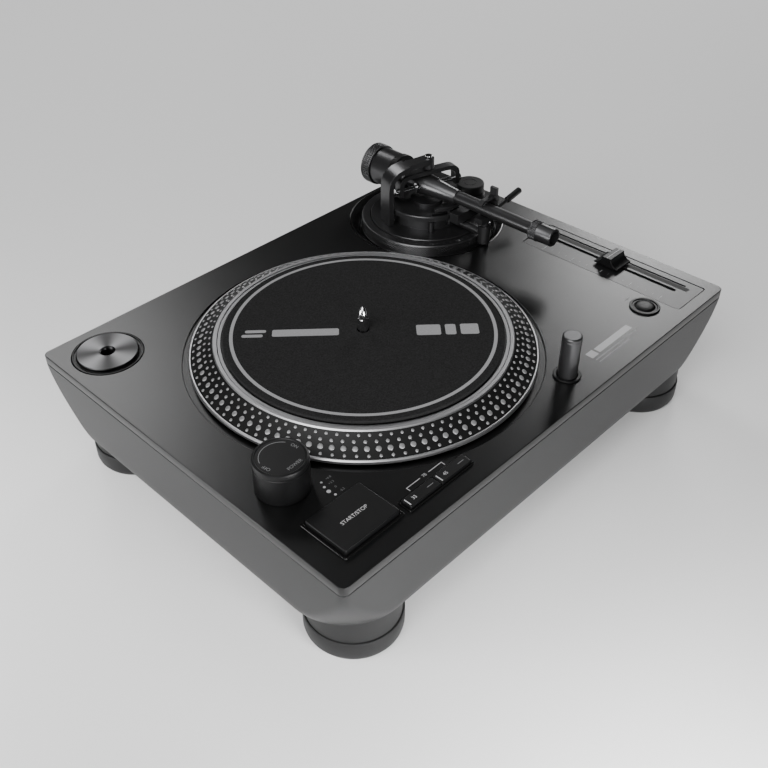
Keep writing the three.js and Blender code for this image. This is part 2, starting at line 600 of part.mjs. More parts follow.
/** A frame that drops through the deck, with a flange resting on it. */
function bezel(width, depth, frame, flange, open) {
  const outer = slab(width + 2 * frame, depth + 2 * frame, 1.2, GAP, GAP + flange);
  const body = slab(width + 2 * frame - 2 - 2 * GAP, depth + 2 * frame - 2 - 2 * GAP, 0.8, -PRESS.deep, GAP + 0.1);
  return cut(join(outer, body), ...open);
}
const keyHole = (width, depth, x) =>
  slab(width + 2 * GAP, depth + 2 * GAP, 0.5, -PRESS.deep - THROUGH, 3 * THROUGH).translate(x, 0, 0);
const keyCap = (width, depth, top, x) =>
  join(
    slab(width, depth, 0.8, -PRESS.deep + PRESS.travel + 1, top - 0.5),
    slab(width - 1, depth - 1, 0.8, top - 0.7, top),
  ).translate([x, 0, 0]);

const startGroup = station(startAt);
const startOpen = [keyHole(START.width, START.depth, 0)];
piece(startGroup, "start_stop_bezel", bezel(START.width, START.depth, START.frame, START.flange, startOpen), glossBlack);
piece(startGroup, "start_stop_button", keyCap(START.width, START.depth, START.top, 0), plasticBlack);

const speedGroup = station(speedAt);
const speedX = (SPEED.width + SPEED.between) / 2;
const speedOpen = [-speedX, speedX].map((x) => keyHole(SPEED.width, SPEED.depth, x));
const speedSpan = 2 * SPEED.width + SPEED.between;
piece(speedGroup, "speed_bezel", bezel(speedSpan, SPEED.depth, SPEED.frame, SPEED.flange, speedOpen), glossBlack);
piece(speedGroup, "speed_button_33", keyCap(SPEED.width, SPEED.depth, SPEED.top, -speedX), plasticBlack);
piece(speedGroup, "speed_button_45", keyCap(SPEED.width, SPEED.depth, SPEED.top, speedX), plasticBlack);

/** A round collar that drops through the deck. */
const collar = (outer, inner, flange, body, below) =>
  turned([
    [inner, -below], [body, -below], [body, GAP], [outer, GAP], [outer, GAP + flange - 0.4],
    [outer - 0.4, GAP + flange], [inner, GAP + flange],
  ], 20);

const lampGroup = station(lampAt);
const lampBody = lampRing - LAMP.flange - GAP;
piece(lampGroup, "target_light_ring",
  collar(lampRing, LAMP.radius + RUN, 0.9, lampBody, 12), glossBlack);
const lamp = turned([
  [0, -10], [LAMP.radius, -10], [LAMP.radius, LAMP.height - 0.6], [LAMP.radius - 0.6, LAMP.height], [0, LAMP.height],
], 20);
const lampWindow = block(-3.4, 3.4, LAMP.radius - 1.6, LAMP.radius + THROUGH, LAMP.height - 7.4, LAMP.height - 3);
const lampTurn = Math.atan2(platterAt[1] - lampAt[1], platterAt[0] - lampAt[0]) - Math.PI / 2;
piece(lampGroup, "target_light", cut(solid(lamp), lampWindow.rotateZ(lampTurn)), armBlack);

const resetGroup = station(resetAt);
piece(resetGroup, "reset_ring",
  collar(resetRing, RESET.radius + RUN, 0.9, resetRing - RESET.flange - GAP, PRESS.deep), glossBlack);
const resetDome = turned([
  [0, -PRESS.deep + PRESS.travel], [RESET.radius, -PRESS.deep + PRESS.travel], [RESET.radius, RESET.top - 0.7],
  [RESET.radius * 0.8, RESET.top - 0.2], [0, RESET.top],
], 20);
piece(resetGroup, "reset_button", resetDome, plasticBlack);

// --------------------------------------------------------------- pitch fader

const faderGroup = station(faderAt);
const plateTop = -FADER.sink;
const plateLow = plateTop - FADER.plate;

function faderPlate() {
  const slot = slab(FADER.slot, faderSlot, 0.5, plateLow - THROUGH, THROUGH).translate(FADER.offset, 0, 0);
  return cut(solid(slab(FADER.width, FADER.length, 1.6, plateLow, plateTop)), slot);
}
piece(faderGroup, "fader_plate", faderPlate(), greyPlastic);

function faderBody() {
  const high = -DECK.rim - GAP;
  const low = high - FADER.deep;
  const length = faderSlot + 2 * FADER.wall + 4;
  const half = FADER.body / 2;
  const shell = solid(block(FADER.offset - half, FADER.offset + half, -length / 2, length / 2, low, high));
  const channel = block(
    FADER.offset - half + FADER.wall, FADER.offset + half - FADER.wall, -faderSlot / 2 - 1, faderSlot / 2 + 1,
    low + FADER.wall, high + THROUGH,
  );
  return cut(shell, channel);
}
piece(faderGroup, "fader_body", faderBody(), steel);

/** The fader cap: a ridge across the slot, hollowed on both sides for a fingertip. */
function faderKnob() {
  const half = CAP.length / 2;
  const side = new THREE.Shape();
  side.moveTo(-half, CAP.foot).lineTo(half, CAP.foot).lineTo(half, CAP.foot + 1.2);
  side.quadraticCurveTo(CAP.ridge / 2 + 0.6, CAP.foot + 2, CAP.ridge / 2, CAP.top);
  side.lineTo(-CAP.ridge / 2, CAP.top);
  side.quadraticCurveTo(-CAP.ridge / 2 - 0.6, CAP.foot + 2, -half, CAP.foot + 1.2);
  side.closePath();
  const cap = across(side, -CAP.width / 2, CAP.width / 2).rotateZ(Math.PI / 2).translate(FADER.offset, 0, 0);
  const stem = block(
    FADER.offset - FADER.stem / 2, FADER.offset + FADER.stem / 2, -FADER.stemLength / 2, FADER.stemLength / 2,
    -DECK.rim - FADER.deep / 2, CAP.foot + 0.5,
  );
  return join(cap, stem);
}
piece(faderGroup, "fader_knob", faderKnob(), plasticBlack);

// -------------------------------------------------------------- tonearm base

const arm = station(armAt);

/** The dished ring that lines the hole under the tonearm. */
function armWell() {
  const outer = wellRadius - GAP;
  const neck = outer - WELL.ledge;
  const shoulder = GAP - WELL.ledge;
  const floor = -WELL.depth;
  return turned([
    [outer, -0.2], [outer - WELL.lip, -0.2], [outer - 3.6, -1.6], [outer - 5.6, -3.6], [wellFloor, floor],
    [ringBore + 1, floor], [ringBore + 1, floor - WELL.thickness], [neck, floor - WELL.thickness],
    [neck, shoulder], [outer, shoulder],
  ], 36);
}
piece(arm, "arm_well", armWell(), glossBlack);

const heightRing = turned([
  [ringBore, -WELL.depth + GAP], [RING.radius, -WELL.depth + GAP], [RING.radius, RING.top - 0.6],
  [RING.radius - 0.6, RING.top], [ringLand, RING.top], [ringLand, RING.step], [ringBore, RING.step],
], 32);
piece(arm, "height_ring", heightRing, armBlack);

/** An annular sector from one angle to another, in degrees. */
function sector(inner, outer, from, to, low, high, curveSegments = 6) {
  const shape = new THREE.Shape();
  shape.absarc(0, 0, outer, radians(from), radians(to), false);
  shape.absarc(0, 0, inner, radians(to), radians(from), true);
  return extruded(shape, low, high, curveSegments);
}

const polar = (radius, degrees) => [radius * Math.cos(radians(degrees)), radius * Math.sin(radians(degrees))];

function armBase() {
  const M = MOUNT;
  const column = turned([
    [0, M.columnTop - 3], [M.hollow, M.columnTop - 3], [M.hollow, -M.below], [M.sleeve, -M.below],
    [M.sleeve, RING.step + RUN], [M.flange, RING.step + RUN], [M.flange, M.flangeTop - 0.5],
    [M.flange - 0.5, M.flangeTop], [M.column, M.flangeTop], [M.column, M.columnTop], [M.neck, M.columnTop],
    [M.neck, M.plateLow], [M.plate, M.plateLow], [M.plate, M.plateTop - 0.6], [M.plate - 0.6, M.plateTop],
    [M.boss, M.plateTop], [M.boss, M.bossTop], [0, M.bossTop],
  ], 30);
  const lobe = disc(SKATE.lobe, SKATE.lobeLow, SKATE.low - GAP, 20).translate(SKATE.x, SKATE.y, 0);
  const [pinX, pinY] = polar(LIFT.radius, LIFT.pin);
  const half = LIFT.width / 2;
  const lug = disc(2.3, M.flangeTop - 0.4, M.columnTop + 1.2, 12).translate(...polar(M.column + 1.6, 228), 0);
  const body = join(column, lobe, lug);
  return cut(
    body,
    disc(SKATE.radius + RUN, SKATE.low - GAP, M.bossTop + THROUGH, 20).translate(SKATE.x, SKATE.y, 0),
    sector(REAR_RELIEF.radius, M.flange + THROUGH, REAR_RELIEF.from, REAR_RELIEF.to, REAR_RELIEF.low, M.bossTop + THROUGH),
    ring(M.groove, M.boss, M.grooveLow, M.bossTop + THROUGH, 30),
    sector(LIFT.radius - half - RUN, LIFT.radius + half + RUN, LIFT.from - 3, LIFT.to + 3,
      liftLow - LIFT.travel - RUN, M.bossTop + THROUGH),
    disc(LIFT.pinRadius + RUN, M.flangeTop + 2, M.plateTop + THROUGH, 12).translate(pinX, pinY, 0),
    block(LIFT_BOX.left - GAP, LIFT_BOX.right + GAP, LIFT_BOX.front - GAP, LIFT_BOX.rear + GAP,
      LIFT_BOX.low - GAP, M.bossTop + THROUGH),
  );
}
piece(arm, "arm_base", armBase(), armBlack);

// ----------------------------------------------------- bracket and gimbal yoke

const gimbal = new THREE.Group();
gimbal.rotation.z = radians(YOKE.turn);
arm.add(gimbal);

/** The one-sided bracket that carries the upper pivot: a leg, a bend and a bar. */
function pivotBracket() {
  const B = BRACKET;
  const out = -B.span - B.thickness;
  const low = MOUNT.flangeTop + GAP;
  const side = new THREE.Shape();
  side.moveTo(out, low).lineTo(-B.span, low).lineTo(-B.span, B.top - B.bar - 13);
  side.bezierCurveTo(-B.span, B.top - B.bar - 4, -B.span + 5, B.top - B.bar - 2, -B.span + 16, B.top - B.bar - 0.8);
  side.lineTo(0, B.top - B.bar).lineTo(0, B.top).lineTo(out + 20, B.top - 1);
  side.bezierCurveTo(out + 7, B.top - 2.4, out, B.top - 7, out, B.top - 17);
  side.closePath();
  const bar = across(side, -B.width / 2, B.width / 2);
  const taperFront = block(-B.span + 14, 10, -B.width, -B.post, 0, B.top + THROUGH);
  const taperRear = block(-B.span + 14, 10, B.post, B.width, 0, B.top + THROUGH);
  const post = disc(B.post, B.postLow, B.top - 0.6, 20);
  const strip = cut(solid(bar), taperFront, taperRear).add(solid(post));
  return cut(strip, disc(PIVOT.screw + GAP, B.postLow - THROUGH, B.top + THROUGH, 16));
}
piece(gimbal, "pivot_bracket", pivotBracket(), armBlack);

const topScrew = turned([
  [0, YOKE.top + GAP], [PIVOT.screw, YOKE.top + GAP], [PIVOT.screw, BRACKET.top + GAP],
  [PIVOT.head, BRACKET.top + GAP], [PIVOT.head, BRACKET.top + 1.5], [0, BRACKET.top + 1.5],
], 16);
piece(gimbal, "pivot_screw_top", topScrew, chrome);

/** The inner yoke: an arch that turns on the upper pivot and holds the side pivots. */
function gimbalYoke() {
  const { span, thickness, width, top, bar } = YOKE;
  const outer = span + thickness;
  const end = PIVOT.height - width / 2;
  const arch = new THREE.Shape();
  arch.moveTo(-outer, end).lineTo(-span, end).lineTo(-span, top - bar - 7);
  arch.quadraticCurveTo(-span, top - bar, -span + 8, top - bar);
  arch.lineTo(span - 8, top - bar);
  arch.quadraticCurveTo(span, top - bar, span, top - bar - 7);
  arch.lineTo(span, end).lineTo(outer, end).lineTo(outer, top - 9);
  arch.quadraticCurveTo(outer, top, outer - 10, top);
  arch.lineTo(10 - outer, top);
  arch.quadraticCurveTo(-outer, top, -outer, top - 9);
  arch.closePath();
  const holes = [-1, 1].map((s) =>
    disc(PIVOT.screw + GAP, span - THROUGH, outer + THROUGH, 12).rotateY((s * Math.PI) / 2).translate(0, 0, PIVOT.height));
  return cut(solid(across(arch, -width / 2, width / 2)), ...holes);
}
piece(gimbal, "gimbal_yoke", gimbalYoke(), armBlack);

const sideScrew = () => turned([
  [0, PIVOT.stubEnd + GAP], [PIVOT.screw, PIVOT.stubEnd + GAP], [PIVOT.screw, YOKE.span + YOKE.thickness + GAP],
  [PIVOT.head, YOKE.span + YOKE.thickness + GAP], [PIVOT.head, YOKE.span + YOKE.thickness + GAP + PIVOT.headLength],
  [0, YOKE.span + YOKE.thickness + GAP + PIVOT.headLength],
], 16);
piece(gimbal, "pivot_screw_left", sideScrew().rotateY(-Math.PI / 2).translate(0, 0, PIVOT.height), chrome);
piece(gimbal, "pivot_screw_right", sideScrew().rotateY(Math.PI / 2).translate(0, 0, PIVOT.height), chrome);

// ------------------------------------------------------------- the arm itself

/** A piece turned about the arm's own axis: its outline runs along Y. */
const alongArm = (outline, segments) =>
  turned(outline, segments).rotateX(-Math.PI / 2).translate(0, 0, PIVOT.height);

function armTube() {
  const T = TUBE;
  const tube = alongArm([
    [0, T.end], [T.radius, T.end], [T.radius, T.coneEnd - T.band], [T.radius - 0.4, T.coneEnd - T.band],
    [T.radius - 0.4, T.coneEnd], [T.radius + 0.3, T.coneEnd], [T.cone, T.coneStart], [T.hub, T.coneStart],
    [T.hub, T.hubEnd - 1], [T.hub - 1, T.hubEnd], [WEIGHT.shaft, T.hubEnd], [WEIGHT.shaft, WEIGHT.shaftEnd],
    [0, WEIGHT.shaftEnd],
  ], 18);
  const stub = disc(PIVOT.stub, -PIVOT.stubEnd, PIVOT.stubEnd, 14)
    .rotateY(Math.PI / 2).rotateZ(radians(YOKE.turn)).translate(0, 0, PIVOT.height);
  return join(tube, stub);
}
piece(arm, "arm_tube", armTube(), armBlack);

const collarOutline = [
  [collarBore, COLLAR.end], [collarBore + COLLAR.wall - 0.4, COLLAR.end], [collarBore + COLLAR.wall, COLLAR.end + 0.4],
  [collarBore + COLLAR.wall, COLLAR.knurlEnd], [collarBore + COLLAR.knurlWall, COLLAR.knurlEnd],
  [collarBore + COLLAR.knurlWall, COLLAR.start],
  [TUBE.radius + GAP, COLLAR.start], [TUBE.radius + GAP, TUBE.end - GAP], [collarBore, TUBE.end - GAP],
];
piece(arm, "headshell_collar", alongArm(collarOutline, 18), armBlack);

const W = WEIGHT;
const weightBore = W.shaft + GAP;
const weightOutline = [
  [weightBore, W.front], [W.boss, W.front], [W.boss, W.bodyFront], [W.body, W.bodyFront], [W.body, W.knurlFront],
  [W.knurl, W.knurlFront], [W.knurl, W.rear - 1], [W.knurl - 1, W.rear], [W.hub, W.rear], [W.hub, W.hubEnd],
  [weightBore, W.hubEnd],
];
piece(arm, "counterweight", alongArm(weightOutline, 24), armBlack);
const dialOutline = [
  [dialBore, DIAL.front], [dialBore + DIAL.wall - 0.6, DIAL.front], [dialBore + DIAL.wall, DIAL.front + 0.6],
  [dialBore + DIAL.wall, DIAL.rear], [dialBore, DIAL.rear],
];
piece(arm, "scale_ring", alongArm(dialOutline, 24), armBlack);

// ------------------------------------------------- anti-skate, lift and rest

const skateDial = button(SKATE.radius, SKATE.low, SKATE.top, 0.8, 20).translate(SKATE.x, SKATE.y, 0);
piece(arm, "anti_skate_dial", skateDial, plasticBlack);

function liftHousing() {
  const L = LIFT_BOX;
  const body = block(L.left, L.right, L.front, L.rear, L.low, liftLow - L.under);
  const shaftHole = rodY(CUE.shaft + RUN, L.front - THROUGH, L.rear - 1.4, CUE.x, CUE.height, 16);
  return cut(solid(body), shaftHole);
}
piece(arm, "lift_housing", liftHousing(), armBlack);

function liftBar() {
  const half = LIFT.width / 2;
  const bar = sector(LIFT.radius - half, LIFT.radius + half, LIFT.from, LIFT.to, liftLow, liftTop);
  const pin = disc(LIFT.pinRadius, MOUNT.plateLow - 1, liftLow + 0.4, 12).translate(...polar(LIFT.radius, LIFT.pin), 0);
  return join(bar, pin);
}
piece(arm, "lift_bar", liftBar(), armBlack);

function cueLever() {
  const shaft = rodY(CUE.shaft, CUE.y - CUE.shaft, LIFT_BOX.rear - 2, 0, 0, 16);
  const rod = disc(CUE.rod, 0, CUE.handleFrom + 1, 12);
  const grip = button(CUE.handle, CUE.handleFrom, CUE.reach, 0.7, 16);
  const stick = [rod, grip].map((g) => g.rotateY(Math.PI / 2 - radians(CUE.rise)).translate(0, CUE.y, 0));
  return join(shaft, ...stick).translate([CUE.x, 0, CUE.height]);
}
piece(arm, "cue_lever", cueLever(), armBlack);

/** The arm rest: a rod from the base, a post, and a cradle open above and to the left. */
function armRest() {
  const R = REST;
  const half = R.depth / 2;
  const rod = rodY(R.rod, restY, -MOUNT.column - GAP, 0, R.rodHeight, 16);
  const post = disc(R.post, R.low, R.high, 24).translate(0, restY, 0);
  const stem = disc(R.stem, R.high - 0.4, R.high + 6, 16).translate(0, restY, 0);
  const cradleLow = R.high + 3.4;
  const lip = PIVOT.height - TUBE.radius - RUN;
  const cradle = block(-R.saddle, R.saddle + 2, restY - half, restY + half, cradleLow, lip);
  const upright = block(
    TUBE.radius + 1.2, R.saddle + 2, restY - half, restY + half, cradleLow, CLIP.height - CLIP.hub - GAP,
  );
  return join(rod, post, stem, cradle, upright);
}
piece(arm, "arm_rest", armRest(), armBlack);

/** The clip over the arm: a hub on the rest, a hook to the left and a finger lug above. */
function restClip() {
  const half = REST.depth / 2;
  const hook = new THREE.Shape();
  hook.moveTo(0, CLIP.bar).lineTo(CLIP.reach - CLIP.x + 3, CLIP.bar);
  hook.lineTo(CLIP.reach - CLIP.x - 1, CLIP.tip - CLIP.height + 0.4).lineTo(CLIP.reach - CLIP.x + 0.6, CLIP.tip - CLIP.height);
  hook.lineTo(CLIP.reach - CLIP.x + 3.4, -0.5).lineTo(0, -0.5).closePath();
  const hub = rodY(CLIP.hub, restY - half, restY + half, 0, 0, 16);
  const bar = across(hook, restY - half + 1.5, restY + half - 1.5);
  const lug = block(-1.2, 1.2, restY - half + 0.4, restY + half - 0.4, 0, CLIP.handle - CLIP.height);
  return join(hub, bar, lug).translate([CLIP.x, 0, CLIP.height]);
}
piece(arm, "rest_clip", restClip(), armBlack);

// The whole object stands on the floor with its plan's middle at the origin.
root.updateMatrixWorld(true);
const extent = new THREE.Box3().setFromObject(root);
const middle = extent.getCenter(new THREE.Vector3());
root.position.set(-middle.x, -middle.y, -extent.min.z);

export default root;
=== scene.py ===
"""The record player as a photograph shows it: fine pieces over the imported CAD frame."""

import math

import bmesh
import bpy
from mathutils import Matrix, Vector


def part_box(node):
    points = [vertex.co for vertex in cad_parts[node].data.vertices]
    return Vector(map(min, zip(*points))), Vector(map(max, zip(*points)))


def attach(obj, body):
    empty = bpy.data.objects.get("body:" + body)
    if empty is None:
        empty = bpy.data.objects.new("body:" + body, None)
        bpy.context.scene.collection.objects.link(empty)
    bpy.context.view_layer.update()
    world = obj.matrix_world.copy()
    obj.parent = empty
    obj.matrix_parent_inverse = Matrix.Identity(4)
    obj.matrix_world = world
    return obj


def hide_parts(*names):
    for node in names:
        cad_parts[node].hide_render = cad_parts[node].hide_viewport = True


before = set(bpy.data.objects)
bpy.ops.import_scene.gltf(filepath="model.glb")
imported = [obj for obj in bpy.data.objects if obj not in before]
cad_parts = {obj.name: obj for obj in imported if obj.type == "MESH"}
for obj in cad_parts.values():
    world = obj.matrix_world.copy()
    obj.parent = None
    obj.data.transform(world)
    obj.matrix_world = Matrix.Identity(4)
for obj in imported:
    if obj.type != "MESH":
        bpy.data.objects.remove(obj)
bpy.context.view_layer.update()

# ------------------------------------------------------------------ places
# Heights are from the deck's top and places from the deck's middle, in mm.
lo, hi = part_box("top_plate")
MIDDLE = (500 * (lo[0] + hi[0]), 500 * (lo[1] + hi[1]), 1000 * hi[2])
WIDE, DEEP = 1000 * (hi[0] - lo[0]), 1000 * (hi[1] - lo[1])
FLOOR = -MIDDLE[2]


def centre(node):
    """Plan centre of a CAD node, from the deck's middle."""
    a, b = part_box(node)
    return (500 * (a[0] + b[0]) - MIDDLE[0], 500 * (a[1] + b[1]) - MIDDLE[1])


def heights(node):
    """Lowest and highest level of a CAD node, from the deck's top."""
    return [1000 * corner[2] - MIDDLE[2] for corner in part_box(node)]


PLATTER = centre("platter")
ARM = centre("height_ring")
ADAPTOR = centre("adaptor_45")
POWER = centre("power_knob")
START = centre("start_stop_button")
SPEED = centre("speed_bezel")
LAMP = centre("target_light_ring")
RESET = centre("reset_ring")
FADER = centre("fader_plate")
KNOB = centre("fader_knob")
SKATE = centre("anti_skate_dial")

# ------------------------------------------------------------------- sizes
CORNER, LOW_CORNER = 4.5, 41  # plan corner radii of the case, at the deck and at its underside
SWELL = 1.6  # power by which the corner radius grows on the way down
DECK_UNDER = -6.2
PAN, WELL = 120.5, 61.4  # radii of the platter's recess and of the arm's well
SEAT = 23.9  # radius of the adaptor's seat
ARM_HEIGHT = 29.5  # the tonearm's axis
RAISED_BY = 0.02  # print above the face that it is on
PLATTER_TOP, PLATTER_HOLLOW, HUB_END = 11.6, 7.6, -7
MAT_TURN = -44  # the way that the slipmat's print runs
SLOPE_TOP, SLOPE_FOOT = (99.6, 11.8), (114.6, 3.4)  # the dotted slope, as radius and height
CAP_TOP = 22.8
START_KEY, START_TOP = (41.4, 31.2), 4.2
SPEED_KEY, SPEED_TOP, SPEED_APART = (25.3, 7.6), 2.6, 13.1
SPEED_FRAME = (54.3, 10.4)
FADER_PANEL, FADER_TOP = (35.4, 135), -0.3
DIAL_TOP = 4.2  # the height dial's rim


# --------------------------------------------------------------- materials
def material(name, color, roughness, metallic=0.0, grain=0.0, grain_scale=2500, speck=0.0, shine=0.5):
    """A principled finish with fine procedural grain in its bump, roughness and colour."""
    made = bpy.data.materials.new(name)
    made.use_nodes = True
    tree = made.node_tree
    shader = tree.nodes["Principled BSDF"]
    shader.inputs["Base Color"].default_value = (*color, 1)
    shader.inputs["Roughness"].default_value = roughness
    shader.inputs["Metallic"].default_value = metallic
    shader.inputs["Specular IOR Level"].default_value = shine
    place = tree.nodes.new("ShaderNodeTexCoord")
    noise = tree.nodes.new("ShaderNodeTexNoise")
    noise.inputs["Scale"].default_value = grain_scale
    noise.inputs["Detail"].default_value = 3
    tree.links.new(place.outputs["Object"], noise.inputs["Vector"])
    if grain:
        bump = tree.nodes.new("ShaderNodeBump")
        bump.inputs["Strength"].default_value = grain
        bump.inputs["Distance"].default_value = 0.0002
        tree.links.new(noise.outputs["Fac"], bump.inputs["Height"])
        tree.links.new(bump.outputs["Normal"], shader.inputs["Normal"])
    if speck:
        vary_color(tree, shader, color, speck, noise.outputs["Fac"])
    spread = tree.nodes.new("ShaderNodeMapRange")
    spread.inputs["To Min"].default_value = max(roughness - 0.04, 0.02)
    spread.inputs["To Max"].default_value = min(roughness + 0.04, 1)
    tree.links.new(noise.outputs["Fac"], spread.inputs["Value"])
    tree.links.new(spread.outputs["Result"], shader.inputs["Roughness"])
    return made


def vary_color(tree, shader, color, share, factor):
    """Lets the colour go darker and lighter by a share of itself, as the factor says."""
    mix = tree.nodes.new("ShaderNodeMix")
    mix.data_type = "RGBA"
    mix.inputs["A"].default_value = (*[c * (1 - share) for c in color], 1)
    mix.inputs["B"].default_value = (*[min(c * (1 + share), 1) for c in color], 1)
    tree.links.new(factor, mix.inputs["Factor"])
    tree.links.new(mix.outputs["Result"], shader.inputs["Base Color"])


def turned_metal(name, color, roughness, fan):
    """Metal with light and dark fans spread from the object's own Z axis painted into its colour: a painted
    radial sheen, as turned metal shows under light.
    """
    made = material(name, color, roughness, 1.0, grain_scale=900)
    tree = made.node_tree
    split = tree.nodes.new("ShaderNodeSeparateXYZ")
    tree.links.new(tree.nodes["Texture Coordinate"].outputs["Object"], split.inputs["Vector"])
    angle = tree.nodes.new("ShaderNodeMath")
    angle.operation = "ARCTAN2"
    tree.links.new(split.outputs["Y"], angle.inputs[0])
    tree.links.new(split.outputs["X"], angle.inputs[1])
    fans = tree.nodes.new("ShaderNodeMath")
    fans.operation = "MULTIPLY_ADD"
    fans.inputs[1].default_value = 4
    fans.inputs[2].default_value = 0.6
    tree.links.new(angle.outputs["Value"], fans.inputs[0])
    swing = tree.nodes.new("ShaderNodeMath")
    swing.operation = "SINE"
    tree.links.new(fans.outputs["Value"], swing.inputs[0])
    share = tree.nodes.new("ShaderNodeMapRange")
    share.inputs["From Min"].default_value = -1
    tree.links.new(swing.outputs["Value"], share.inputs["Value"])
    vary_color(tree, tree.nodes["Principled BSDF"], color, fan, share.outputs["Result"])
    return made


deck_paint = material(
    "deck paint", (0.005, 0.005, 0.0052), 0.3, 0.3, grain=0.16, grain_scale=2200, speck=0.25)
side_paint = material(
    "side paint", (0.016, 0.016, 0.0164), 0.36, 0.2, grain=0.2, grain_scale=2200, speck=0.2, shine=0.25)
# A matte near-black, a little darker and rougher than the deck paint. In the adaptor's seat and the fader's
# pocket it is painted shade in the recesses. It also colours the fader's body and rail.
black_and_recess_shade = material("matte black and recess shade", (0.004, 0.004, 0.004), 0.6)
plastic = material(
    "satin plastic", (0.003, 0.003, 0.0032), 0.4, grain=0.12, grain_scale=3000, shine=0.25)
gloss = material("gloss plastic", (0.004, 0.004, 0.004), 0.18)
cover = material("moulded cover", (0.016, 0.016, 0.016), 0.55, grain=0.3, grain_scale=1800)
arm_paint = material("arm metal", (0.075, 0.075, 0.077), 0.3, 0.88, grain=0.05)
slope_paint = material("platter slope", (0.004, 0.004, 0.004), 0.45, grain=0.1, shine=0.25)
silver = material("turned aluminium", (0.46, 0.46, 0.47), 0.36, 1.0, grain_scale=900)
dot_metal = material("strobe dots", (0.3, 0.3, 0.305), 0.42, 0.7)
# Painted sheen: the adaptor disc's radial shine is painted into its colour as light and dark fans.
sheen_fan_disc_metal = turned_metal("dark disc with painted sheen", (0.042, 0.042, 0.043), 0.3, 0.75)
chrome = material("chrome", (0.72, 0.72, 0.73), 0.09, 1.0)
felt = material("felt", (0.016, 0.016, 0.0162), 1.0, grain=1.0, grain_scale=1100, speck=0.85, shine=0.1)
ink = material("light print", (0.24, 0.24, 0.245), 0.55, grain_scale=900, speck=0.25)
legend = material("legend ink", (0.42, 0.42, 0.43), 0.5)
dim_legend = material("dim legend ink", (0.16, 0.16, 0.165), 0.5)
rubber = material(
    "foot rubber", (0.01, 0.01, 0.0102), 0.5, grain=0.2, grain_scale=1500, speck=0.2, shine=0.3)
trim = material("fader trim", (0.012, 0.012, 0.0123), 0.34, 0.3, grain=0.1)
cast = material("cast aluminium", (0.3, 0.3, 0.31), 0.5, 1.0, grain=0.4, grain_scale=900)
copper = material("copper winding", (0.5, 0.2, 0.08), 0.35, 0.9)
magnet = material("magnet", (0.05, 0.05, 0.052), 0.6, 0.2)
board_green = material("circuit board", (0.01, 0.1, 0.04), 0.4)
gold = material("gold plate", (0.7, 0.46, 0.14), 0.22, 1.0)
steel = material("steel", (0.45, 0.45, 0.46), 0.3, 1.0)


# ------------------------------------------------------------------ helpers
def metres(x, y, z):
    """A point in the frame's metres, from millimetres about the deck's middle."""
    return Vector(((x + MIDDLE[0]) / 1000, (y + MIDDLE[1]) / 1000, (z + MIDDLE[2]) / 1000))


def finish_piece(obj, body, nodes=()):
    """Says which body a piece rides on, which CAD nodes it stands for."""
    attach(obj, body)
    if nodes:
        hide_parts(*nodes)
    return obj


def from_bmesh(name, bm, mats, sharp=32, flat=None):
    """An object from a bmesh: smooth faces, flat ones across the flat axis, and sharp edges kept."""
    bmesh.ops.recalc_face_normals(bm, faces=bm.faces)
    for face in bm.faces:
        face.smooth = flat is None or abs(face.normal.dot(Vector(flat))) < 0.999
    limit = math.radians(sharp)
    for edge in bm.edges:
        if len(edge.link_faces) == 2 and edge.calc_face_angle(0) > limit:
            edge.smooth = False
    mesh = bpy.data.meshes.new(name)
    bm.to_mesh(mesh)
    bm.free()
    for mat in mats if isinstance(mats, (list, tuple)) else [mats]:
        mesh.materials.append(mat)
    obj = bpy.data.objects.new(name, mesh)
    bpy.context.scene.collection.objects.link(obj)
    return obj


def bevelled(obj, width):
    """Rounds the object's edges by a width in mm."""
    mod = obj.modifiers.new("edges", "BEVEL")
    mod.width = width / 1000
    mod.segments = 2
    mod.limit_method = "ANGLE"
    mod.angle_limit = math.radians(32)
    mod.use_clamp_overlap = True
    mod.harden_normals = True


def ring_of(bm, r, z, segments, wave):
    """One ring of a turned piece's points, or its one point on the axis, once for each segment."""
    if r < 1e-6:
        return [bm.verts.new((0, 0, z / 1000))] * segments
    made = []
    for i in range(segments):
        a = 2 * math.pi * i / segments
        reach = wave(r, z, a) if wave else r
        made.append(bm.verts.new((reach * math.cos(a) / 1000, reach * math.sin(a) / 1000, z / 1000)))
    return made


def turned(name, outline, mats, at, body, nodes=(), segments=128, bands=None,
           wave=None, along="Z"):
    """A turned piece from (radius, height) points round its section; along="Y" lays it along the arm.

    bands gives a stretch of the outline its own material, and wave moves a point in or out."""
    bm = bmesh.new()
    loops = [ring_of(bm, r, z, segments, wave) for r, z in outline]
    closed = outline[0][0] > 1e-6
    for k in range(len(loops) if closed else len(loops) - 1):
        low, high = loops[k], loops[(k + 1) % len(loops)]
        for i in range(segments):
            j = (i + 1) % segments
            corners = list(dict.fromkeys([low[i], low[j], high[j], high[i]]))
            if len(corners) < 3:
                continue
            face = bm.faces.new(corners)
            if bands:
                face.material_index = bands.get(k, 0)
    if along == "Y":
        bmesh.ops.rotate(bm, verts=bm.verts, matrix=Matrix.Rotation(-math.pi / 2, 3, "X"))
    obj = from_bmesh(name, bm, mats, 28, (0, 1, 0) if along == "Y" else (0, 0, 1))
    obj.location = metres(*at)
    return finish_piece(obj, body, nodes)


def circle(x, y, r, n=96, start=0.0, stop=360.0):
    """Points of an arc; a full circle leaves out its repeated last point."""
    full = abs(stop - start - 360) < 1e-6
    step = (stop - start) / n
    angles = [math.radians(start + i * step) for i in range(n if full else n + 1)]
    return [(x + r * math.cos(a), y + r * math.sin(a)) for a in angles]


def rounded(x, y, w, d, r, n=8):
    """Points of a rectangle with round corners, by its middle, width, depth and corner radius."""
    pts = []
    for k, (sx, sy) in enumerate([(1, -1), (1, 1), (-1, 1), (-1, -1)]):
        cx, cy = x + sx * (w / 2 - r), y + sy * (d / 2 - r)
        pts += circle(cx, cy, r, n, (k - 1) * 90, k * 90)
    return pts


